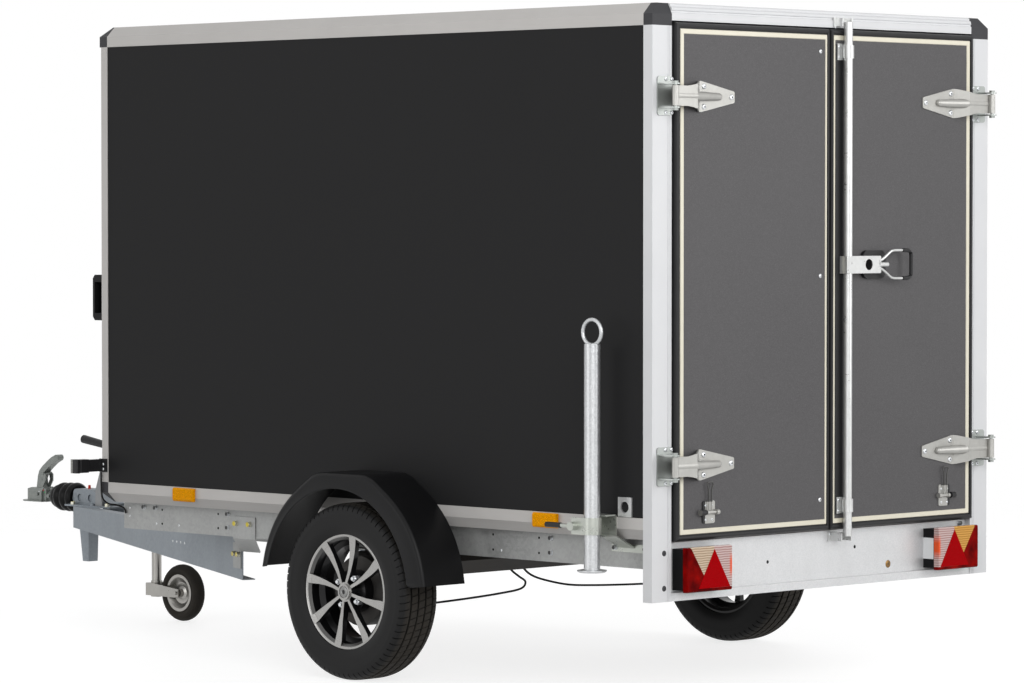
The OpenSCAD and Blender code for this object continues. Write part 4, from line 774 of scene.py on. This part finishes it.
def tyre_mesh(node, look):
    """A treaded tyre in a CAD tyre's place: a section turned round the axle and sunk along its own normal.

    With t the angle, a point is hub + ((r - sink n_r) cos t, y - sink n_y, (r - sink n_r) sin t). The sink is
    the largest of the groove's and the cuts' depths there, less the height of two thin sidewall rings. Each
    column's angle leans by slant * y / r, so that the cuts lie along the grid."""
    centre = middle(node)
    half, r_top = (high(node) - centre)[1:]
    r_bead = (high("rim_left") - middle("rim_left"))[2] + RIM_GAP
    seat = half - SEAT_IN
    y, r, groove, zone = half_section(half, r_top, r_bead, seat)
    y, r, groove, zone = (np.r_[sign * part[:0:-1], part]
                          for sign, part in ((-1, y), (1, r), (1, groove), (1, zone)))
    normal = np.stack([-np.gradient(r), np.gradient(y)])
    normal /= np.linalg.norm(normal, axis=0)
    ring = sum((np.abs(r - place * MM) < RING_HALF) & (zone == 0) & (groove == 0) for place in SIDEWALL_RINGS)
    column = np.arange(len(PITCH) * look.pitches) % len(PITCH)
    across = np.isin(column, SHOULDER_CUT)[:, None] * (zone == 1) * look.shoulder_cut
    across = across + np.isin(column, RIB_CUT)[:, None] * (zone == 2) * look.rib_cut
    sink = np.maximum(across, groove * look.groove) - ring * look.ring
    pitch = np.repeat(np.arange(look.pitches), len(PITCH))
    t = (pitch + np.tile(PITCH, look.pitches)) * 2 * np.pi / look.pitches
    t = t[:, None] + math.tan(look.slant) * y / r
    out = r - sink * normal[1]
    points = np.stack([out * np.cos(t), np.broadcast_to(y - sink * normal[0], t.shape), out * np.sin(t)],
                      axis=-1)
    return points + centre, grid_faces(*t.shape, wrap_n=True, wrap_m=True)[:, ::-1]


class TRAILER_OT_tyres(Operator):
    """Makes the two road tyres with their tread"""

    bl_idname = "trailer.tyres"
    bl_label = "Road tyres"

    def execute(self, context):
        for side in SIDES:
            node = f"tyre_{side}"
            points, faces = tyre_mesh(node, context.scene.trailer_tyres)
            tyre = make_piece(f"road_tyre_{side}", points, faces, "Tyre rubber", f"wheel_{side}")
            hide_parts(node)
        return {"FINISHED"}


# ---- mudguards

GUARD_REACH, GUARD_TOP, GUARD_FLAT = 370.0, 366.0, 118.0
GUARD_FRONT_Z, GUARD_REAR_Z = 335.0, 312.0
ARCH_REACH, ARCH_AHEAD = 317.0, 19.0
BEAD_PROUD, PANEL_GAP = 1.2, 2.3


class TrailerGuards(PropertyGroup):
    wall: FloatProperty(name="Wall", description="Thickness of the mudguards' sheet", unit="LENGTH",
                        default=0.003)
    edge: FloatProperty(name="Edge", description="Radius of the outer edge", unit="LENGTH", default=0.016)
    corner: FloatProperty(
        name="Corner", description="Radius of the skirt's lower corners", unit="LENGTH", default=0.020)
    soften: IntProperty(
        name="Soften", description="Points over which the bends of the top are rounded", default=17, min=1,
        max=41)


def guard_line(axle_z, soften, n=241):
    """A mudguard's outline round the axle in millimetres, ahead and up: two arcs about the axle joined by
    tangents to a flat top. The line is divided evenly and a moving average rounds its bends."""
    touch = math.atan2(GUARD_TOP, GUARD_FLAT) - math.acos(GUARD_REACH / math.hypot(GUARD_FLAT, GUARD_TOP))
    front = math.asin((GUARD_FRONT_Z - axle_z) / GUARD_REACH)
    rear = math.pi - math.asin((GUARD_REAR_Z - axle_z) / GUARD_REACH)
    ahead, behind = np.linspace(front, touch, 60), np.linspace(math.pi - touch, rear, 60)
    line = np.concatenate([GUARD_REACH * np.c_[np.cos(ahead), np.sin(ahead)],
                           [(GUARD_FLAT, GUARD_TOP), (-GUARD_FLAT, GUARD_TOP)],
                           GUARD_REACH * np.c_[np.cos(behind), np.sin(behind)]])
    run = np.r_[0, np.cumsum(np.linalg.norm(np.diff(line, axis=0), axis=1))]
    even = np.linspace(0, run[-1], n)
    line = np.stack([np.interp(even, run, line[:, k]) for k in (0, 1)], axis=1)
    padded = np.pad(line, ((soften // 2, soften // 2), (0, 0)), mode="reflect", reflect_type="odd")
    kernel = np.ones(soften) / soften
    return np.stack([np.convolve(padded[:, k], kernel, mode="valid") for k in (0, 1)], axis=1), even


def guard_mesh(sign, look):
    """A mudguard: at each point p of its line, with u = p / |p|, the section goes out over the top sheet,
    round the edge and down the skirt, and back inside it. A section's point (y, d) lies at p - d u. The skirt
    ends at d = |p| - arch - shift u_x, the circle of the wheel arch, and less by a quarter circle at both
    ends. Its bead is given by points in from the outer face and up from the lower edge."""
    axle = middle("tyre_left") / MM
    line, run = guard_line(axle[2], look.soften)
    length = np.linalg.norm(line, axis=1)
    u = line / length[:, None]
    wall, edge, corner = (size / MM for size in (look.wall, look.edge, look.corner))
    to_end = np.minimum(run, run[-1] - run)
    bite = corner - np.sqrt(np.maximum(corner**2 - np.maximum(corner - to_end, 0)**2, 0))
    deep = length - ARCH_REACH - ARCH_AHEAD * u[:, 0] - bite
    y0, y1 = high("side_panels")[1] / MM + PANEL_GAP, high("mudguard_left")[1] / MM
    bend = np.linspace(np.pi / 2, 0, 9)
    over, under = edge - BEAD_PROUD, edge - wall
    bead_in, bead_up = zip((BEAD_PROUD, 7), (0, 5), (0, 1.5), (1.0, 0), (wall, 0), (wall + 0.6, 3))
    y = np.r_[y0, y1 - edge + over * np.cos(bend), y1 - np.array(bead_in),
              y1 - edge + under * np.cos(bend[::-1]), y0]
    drop = [np.zeros_like(deep)] + [np.full_like(deep, over * (1 - math.sin(a))) for a in bend]
    drop += [deep - up for up in bead_up]
    drop += [np.full_like(deep, edge - under * math.sin(a)) for a in bend[::-1]] + [np.full_like(deep, wall)]
    d = np.stack(drop, axis=1)
    shape = d.shape
    flat = line[:, None, :] - d[..., None] * u[:, None, :]
    points = np.stack([axle[0] + flat[..., 0], np.broadcast_to(sign * y, shape), axle[2] + flat[..., 1]],
                      axis=-1) * MM
    return points, tube_faces(*shape, flip=sign > 0)


class TRAILER_OT_mudguards(Operator):
    """Makes the two mudguards with a round wheel arch, softened bends and a beaded edge"""

    bl_idname = "trailer.mudguards"
    bl_label = "Mudguards"

    def execute(self, context):
        for side, sign in SIDES.items():
            node = f"mudguard_{side}"
            points, faces = guard_mesh(sign, context.scene.trailer_guards)
            guard = make_piece(f"moulded_{node}", points, faces, "Black moulding", "trailer",
                               crease=50.0)
            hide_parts(node)
        return {"FINISHED"}


# ---- fasteners and fittings

NUT_SEAT, NUT_TURN = 31 * MM, 124
SPOKES, SPOKE_TURN, SPOKE_FACE_IN = 8, 33.5, 10
HINGE_Z, LOCK_Y = (698, 1780), -63
RAIL_Y, PLATE_Y = 695, 699


class TrailerFittings(PropertyGroup):
    frame_bolt: FloatProperty(
        name="Frame bolts", description="Width across flats of the chassis bolts, in millimetres",
        default=16.0)
    small_bolt: FloatProperty(
        name="Small bolts", description="Width across flats of the bracket bolts, in millimetres",
        default=13.0)
    wheel_nut: FloatProperty(
        name="Wheel nuts", description="Width across flats of the wheel nuts, in millimetres", default=19.0)
    wheel_circle: FloatProperty(
        name="Bolt circle", description="Circle that the wheel nuts sit on", unit="LENGTH", default=0.100)


def wheel_fittings(side, sign, sizes):
    """Four nuts on the bolt circle, and a hub cap with a dark middle."""
    hub, face = middle(f"rim_{side}"), high("rim_left")[1]
    out = (0, sign, 0)
    seat = hub[1] + sign * (face - middle("rim_left")[1] - NUT_SEAT)
    r = sizes.wheel_circle / 2
    nuts = [revolve(hexagon_nut(sizes.wheel_nut, 6.0),
                    (hub[0] - r * math.cos(a), seat, hub[2] - r * math.sin(a)), out)
            for a in np.radians(NUT_TURN + 90 * np.arange(4))]
    points, faces, shade = gather(nuts)
    body = f"wheel_{side}"
    make_piece(f"wheel_nuts_{side}", points, faces, "Screw zinc", body, shade=0 * shade)
    cap = [(6.3, -0.6, 0), (6.6, -0.6, 0), (7.4, 0.9, 0), (9.0, 1.3, 0), (14.5, 0.9, 0), (16.6, 0.0, 0),
           (16.8, -3.0, 0)]
    points, faces, shade = revolve(cap, (hub[0], face * sign, hub[2]), out, n=48)
    make_piece(f"hub_cap_{side}", points, faces, "Hub cap", body, shade=shade)


def spoke_tips(side, sign):
    """Tapered ends that carry the spokes' turned faces out to the rim's lip, as wedges.

    Each end of one has its distance in from the lip, half its width, and how far out its back and face lie."""
    hub = middle(f"rim_{side}") / MM
    lip = (high("rim_left") - middle("rim_left"))[2] / MM
    face = high("rim_left")[1] / MM - SPOKE_FACE_IN
    (in0, half0, back0, top0), (in1, half1, back1, top1) = (22, 13.4, -6.0, 2.0), (4, 15.6, 3.0, 5.1)
    turn = np.radians(SPOKE_TURN + 360 / SPOKES * np.arange(SPOKES))[:, None]
    along = np.tile((lip - in0, lip - in0, lip - in1, lip - in1), 2)
    across = np.tile((-half0, half0, half1, -half1), 2)
    out = np.broadcast_to((back0, back0, back1, back1, top0, top0, top1, top1), (SPOKES, 8))
    x = hub[0] + along * np.cos(turn) - across * np.sin(turn)
    z = hub[2] - along * np.sin(turn) - across * np.cos(turn)
    points = np.stack([x, sign * (face + out), z], axis=-1).reshape(-1, 3) * MM
    wedge = [(0, 3, 2, 1), (4, 5, 6, 7), (0, 1, 5, 4), (1, 2, 6, 5), (2, 3, 7, 6), (3, 0, 4, 7)]
    faces = [[8 * k + i for i in (f[::-1] if sign > 0 else f)] for k in range(SPOKES) for f in wedge]
    make_piece(f"spoke_tips_{side}", points, faces, "Two-tone alloy", f"wheel_{side}")


def lock_bar_shade_strip():
    """The flat black strip beside the lock bar: a rounded section drawn up the right leaf, partly a black seal
    and partly painted shadow of the bar on the leaf.
    """
    y0, y1 = -24.0, -58.0
    z0, z1 = low("door_right_panel")[2] / MM + 12, high("door_right_panel")[2] / MM - 12
    section = ((-12.0, y0), (-13.6, y0), (-14.6, y0 - 1.2), (-14.8, (y0 + y1) / 2), (-14.6, y1 + 1.2),
               (-13.6, y1), (-12.0, y1))
    points = [at(x, y, z) for z in (z0, z0 + 1.5, z1 - 1.5, z1) for x, y in section]
    make_piece("lock_bar_shade_strip", points, tube_faces(4, len(section), flip=True), "Door seal rubber",
               "door_right")


def door_fittings(side, sign):
    """Screws of the hinge straps, hold-back plate and the right leaf's guides, and the left leaf's rivets."""
    body = f"door_{side}"
    straps = [(-16, sign * y, z + dz) for z in HINGE_Z for y, dz in ((571, 29.7), (571, -29.7), (450, 0))]
    fasteners(f"strap_screws_{side}", pan_head(8.5, 4.5), straps, body=body)
    plate = [(-15, sign * (546 + dy), 557 + dz) for dy in (-14, 14) for dz in (20, -22)]
    fasteners(f"hold_back_screws_{side}", pan_head(4.0, 2.0), plate, body=body)
    if side == "right":
        guides = [(-16, LOCK_Y + dy, z + dz) for z in (549, 1927) for dy in (-25, 25) for dz in (-16, 16)]
        fasteners("guide_screws", pan_head(4.5, 2.2), guides, body=body)
    else:
        fasteners("door_rivets", rivet_head(6.5, 2.4), [(-12, 43, z) for z in (570, 1248, 1926)], body=body)


def rear_fittings(sizes):
    """Screws, plugs and small holes on the rear posts, the crossmember and the header; the holes are dark
    discs of painted shade.
    """
    both = (1, -1)
    brackets = [(-4, s * y, z + dz) for s in both for z in HINGE_Z for y in (722, 697)
                for dz in (-49, 49)]
    keepers = [(x, LOCK_Y + dy, z) for x, z in ((-4, 2001), (14, 460)) for dy in (-29, 29)]
    fasteners("bracket_screws", pan_head(6.5, 3.5), brackets)
    fasteners("post_plugs", pan_head(8.5, 2.5), [(0, s * 723, z) for s in both for z in (341, 444)],
              finish="Grey cap plastic")
    fasteners("keeper_screws", pan_head(4.5, 2.2), keepers)
    fasteners("crossmember_bolts", hexagon_bolt(sizes.small_bolt), [(18, -661, z) for z in (364, 462)])
    # dark discs of painted shade stand for the slots
    fasteners("crossmember_slots", [(5.0, 0.3, 0), (5.5, SUNK, 0)], [(18, 247, 391), (18, -155, 415)],
              finish="Dark hole")
    fasteners("crossmember_grommet", pan_head(12.0, 2.0), [(18, -314, 353)], finish="Brown plug")


def side_fittings(side, sign, sizes):
    """Bolts and small holes along one chassis rail, its bracket, the drawbar beam and the lamp's foot; the
    holes are dark discs of painted shade.
    """
    small, large = hexagon_bolt(sizes.small_bolt), hexagon_bolt(sizes.frame_bolt)
    rail, plate, beam = sign * RAIL_Y, sign * PLATE_Y, BeamLine(sign)
    pairs = [(x, rail, z) for x in (489, 1955) for z in (418, 462)] + [(x, rail, 465) for x in (2314, 2373)]
    studs = [(x, rail, 413) for x in (701, 2198, 2311)] + [(2447, rail, z) for z in (433, 459)]
    holes = [(x, rail, z) for x in (540, 736, 2003, 2282) for z in (414, 460)]
    for name, profile, places, *finish in (
            ("rail_bolts", small, pairs),
            ("rail_studs", rivet_head(4.0, 2.0), studs),
            # dark discs of painted shade stand for the rail's holes
            ("rail_holes", [(3.6, 0.3, 0), (4.0, SUNK, 0)], holes, "Dark hole"),
            ("bracket_bolts", large, [(x, plate, 434) for x in (1846, 1911)], YELLOW),
            ("strap_bolts", small, [(x, plate, 449) for x in (96, 220)]),
            ("lamp_screws", pan_head(4.5, 2.5), [(2483, sign * 779, z) for z in (590, 606)])):
        fasteners(f"{name}_{side}", profile, places, (0, sign, 0), *finish)
    fasteners(f"beam_bolts_{side}", large, [beam.at(s, 4, 318) for s in (1492, 1526)], beam.out, YELLOW)
    fasteners(f"beam_rivets_{side}", rivet_head(4.0, 1.6),
              [beam.at(s, 0, 322) for s in (945, 980, 1015, 1050)],
              beam.out)


class BeamLine:
    """One drawbar beam's outer face: from its front end, s millimetres along it, out from it and up."""

    front, rear = np.array((3504.0, 70.0)), np.array((2036.0, 560.0))

    def __init__(self, sign):
        self.sign = sign
        self.run = (self.rear - self.front) / np.linalg.norm(self.rear - self.front)
        self.away = np.array((self.run[1], -self.run[0]))
        self.out = (self.away[0], sign * self.away[1], 0.0)

    def at(self, s, out, z):
        x, y = self.front + s * self.run + out * self.away
        return (x, self.sign * y, z)


def coupling_fittings(sizes):
    """Bolts of the overrun housing, the red pin on it, and the coupling's stud and wear marks."""
    top = [(x, s * 58, 389) for s in (1, -1) for x in (3330, 3520)]
    fasteners("housing_bolts", hexagon_bolt(sizes.frame_bolt), top, UP, YELLOW)
    for name, place, radius, finish in (
            ("coupling_stud", (3751, 27.4, 422), 4.2, "Screw zinc"),
            ("wear_mark_worn", (3729, 25.8, 429), 3.4, "Red plastic"),
            ("wear_mark_good", (3721, 25.3, 421), 3.4, "Green plastic")):
        fasteners(name, rivet_head(radius, 1.2), [place], (0, 1, 0), finish)
    pin = [(3.2, 14.0, 0), (4.8, 12.0, 0), (5.2, 0.0, 0), (5.2, SUNK, 0)]
    fasteners("overrun_pin", pin, [(3497, 0, 443)], UP, "Red plastic")


class TRAILER_OT_fittings(Operator):
    """Makes the screws, bolts, nuts, rivets, plugs and hub caps"""

    bl_idname = "trailer.fittings"
    bl_label = "Fittings"

    def execute(self, context):
        sizes = context.scene.trailer_fittings
        # a dark strip that is partly painted shadow of the lock bar
        lock_bar_shade_strip()
        rear_fittings(sizes)
        coupling_fittings(sizes)
        for side, sign in SIDES.items():
            wheel_fittings(side, sign, sizes)
            spoke_tips(side, sign)
            door_fittings(side, sign)
            side_fittings(side, sign, sizes)
        return {"FINISHED"}


# ---- stage

FLOOR_HALF, LIT_POINT = 30.0, (0.0, 0.0, 0.9)
LAMPS = (("Key", (-7.5, 5.0, 4.0), 5.0, 1.0), ("Side", (1.0, 9.0, 2.6), 5.0, 0.42),
         ("Rear", (-8.0, -3.0, 3.0), 4.0, 0.66), ("Top", (0.0, 1.0, 8.0), 7.0, 0.2))


class TrailerStage(PropertyGroup):
    eye: FloatVectorProperty(
        name="Camera place", description="Where the camera stands", size=3, subtype="TRANSLATION",
        unit="LENGTH", default=(-10.53065, 10.030, 1.443))
    heading: FloatProperty(
        name="Heading", description="Turn of the camera about the vertical, from +X", subtype="ANGLE",
        unit="ROTATION", default=math.radians(-45.126))
    dip: FloatProperty(
        name="Dip", description="How far the camera looks down", subtype="ANGLE", unit="ROTATION",
        default=math.radians(1.712))
    lens_length: FloatProperty(
        name="Lens", description="Focal length on a 36 mm wide sensor", default=152.99, min=20.0, max=400.0)
    key_power: FloatProperty(
        name="Key light", description="Power of the large soft light behind the camera, in watts",
        default=330.0)
    fill: FloatProperty(
        name="Fill", description="Strength of the even light from all round", default=0.68, min=0.0, max=2.0)
    overhead: FloatProperty(
        name="Overhead", description="Strength of that light from straight above", default=0.12, min=0.0,
        max=2.0)
    floor_tone: FloatVectorProperty(
        name="Floor", description="Colour of the floor", subtype="COLOR", size=3, default=(0.34, 0.34, 0.34))
    floor_glow: FloatProperty(
        name="Floor glow", description="How much the floor is lifted towards white where it is seen",
        default=0.78, min=0.0, max=1.0)
    floor_reach: FloatProperty(
        name="Floor reach", description="Where the floor has faded into the backdrop", unit="LENGTH",
        default=7.5)


def seen_directly(shader):
    """1 for what the camera sees itself or in metal and glass, 0 for light that falls on the trailer."""
    path = shader.node("ShaderNodeLightPath").outputs
    return shader.any_of(path["Is Camera Ray"], path["Is Glossy Ray"], path["Is Transmission Ray"])


class TRAILER_OT_camera(Operator):
    """Sets the camera where the whole trailer is seen from its left rear corner"""

    bl_idname = "trailer.camera"
    bl_label = "Camera"

    def execute(self, context):
        look = context.scene.trailer_stage
        camera = add_object("Camera", bpy.data.cameras.new("Camera"))
        camera.data.lens = look.lens_length
        camera.data.sensor_width = 36.0
        camera.data.clip_end = 100.0
        camera.location = look.eye
        camera.rotation_euler = Euler((math.pi / 2 - look.dip, 0.0, look.heading - math.pi / 2))
        context.scene.camera = camera
        return {"FINISHED"}


class TRAILER_OT_stage(Operator):
    """Makes the pale floor, the white backdrop and the soft lights"""

    bl_idname = "trailer.stage"
    bl_label = "Stage"

    def execute(self, context):
        look = context.scene.trailer_stage
        context.scene.view_settings.view_transform = "Standard"
        self.floor(look)
        self.backdrop(context.scene, look)
        for name, place, size, share in LAMPS:
            self.lamp(name, place, size, share * look.key_power)
        return {"FINISHED"}

    def floor(self, look):
        """A pale floor that keeps the shadow and fades into the white backdrop with the distance."""
        half = FLOOR_HALF
        mesh = bpy.data.meshes.new("Floor")
        mesh.from_pydata([(-half, -half, 0), (half, -half, 0), (half, half, 0), (-half, half, 0)], [],
                         [(0, 1, 2, 3)])
        floor = add_object("Floor", mesh)
        paint = Shader("Pale floor")
        speck = paint.noise(paint.coords(), 3.0, 2.0)
        away = paint.node("ShaderNodeVectorMath", {0: paint.coords()}, operation="LENGTH").outputs["Value"]
        paint.set(Base_Color=paint.blend(speck, tuple(look.floor_tone), tinted(look.floor_tone, 0.98)),
                  Roughness=0.7, Alpha=paint.span(away, 0.35 * look.floor_reach, look.floor_reach, 1.0, 0.0),
                  Emission_Color=paint.blend(seen_directly(paint), (0.0, 0.0, 0.0), (1.0, 1.0, 1.0)),
                  Emission_Strength=look.floor_glow)
        mesh.materials.append(paint.material)

    def backdrop(self, scene, look):
        """A white backdrop whose light on the trailer fades from the horizon to overhead."""
        world = bpy.data.worlds.new("Studio")
        scene.world = world
        world.use_nodes = True
        sky = Shader("Studio", world.node_tree)
        back = world.node_tree.nodes["Background"]
        back.inputs["Color"].default_value = (1, 1, 1, 1)
        even = sky.span(sky.place("Generated")["Z"], 0.1, 0.9, look.fill, look.overhead)
        sky.put(back.inputs["Strength"], sky.any_of(seen_directly(sky), even))

    def lamp(self, name, place, size, power):
        """A square soft light turned to the trailer."""
        data = bpy.data.lights.new(name, "AREA")
        data.energy = power
        data.size = size
        lamp = add_object(name, data)
        lamp.location = place
        lamp.rotation_euler = (Vector(LIT_POINT) - Vector(place)).to_track_quat("-Z", "Y").to_euler()


# ---- add-on

GROUPS = {"trailer_stage": TrailerStage, "trailer_cables": TrailerCables, "trailer_tyres": TrailerTyres,
          "trailer_fittings": TrailerFittings, "trailer_guards": TrailerGuards}


class TRAILER_PT_looks(Panel):
    """Lists the sizes that can be set and the steps that make the trailer's looks"""

    bl_idname = "TRAILER_PT_looks"
    bl_label = "Trailer Looks"
    bl_space_type = "VIEW_3D"
    bl_region_type = "UI"
    bl_category = "Trailer"

    def draw(self, context):
        column = self.layout.column()
        for group, kind in GROUPS.items():
            for key in kind.__annotations__:
                column.prop(getattr(context.scene, group), key)
        for operator in OPERATORS:
            column.operator(operator.bl_idname)


OPERATORS = (TRAILER_OT_camera, TRAILER_OT_finishes, TRAILER_OT_cables, TRAILER_OT_tyres,
             TRAILER_OT_mudguards,
             TRAILER_OT_fittings, TRAILER_OT_stage)
CLASSES = (*GROUPS.values(), *OPERATORS, TRAILER_PT_looks)


def register():
    for cls in CLASSES:
        register_class(cls)
    for group, kind in GROUPS.items():
        setattr(bpy.types.Scene, group, PointerProperty(type=kind))


def unregister():
    for group in GROUPS:
        delattr(bpy.types.Scene, group)
    for cls in reversed(CLASSES):
        unregister_class(cls)


def main():
    register()
    for operator in OPERATORS:
        group, name = operator.bl_idname.split(".")
        getattr(getattr(bpy.ops, group), name)()


if __name__ == "__main__":
    main()
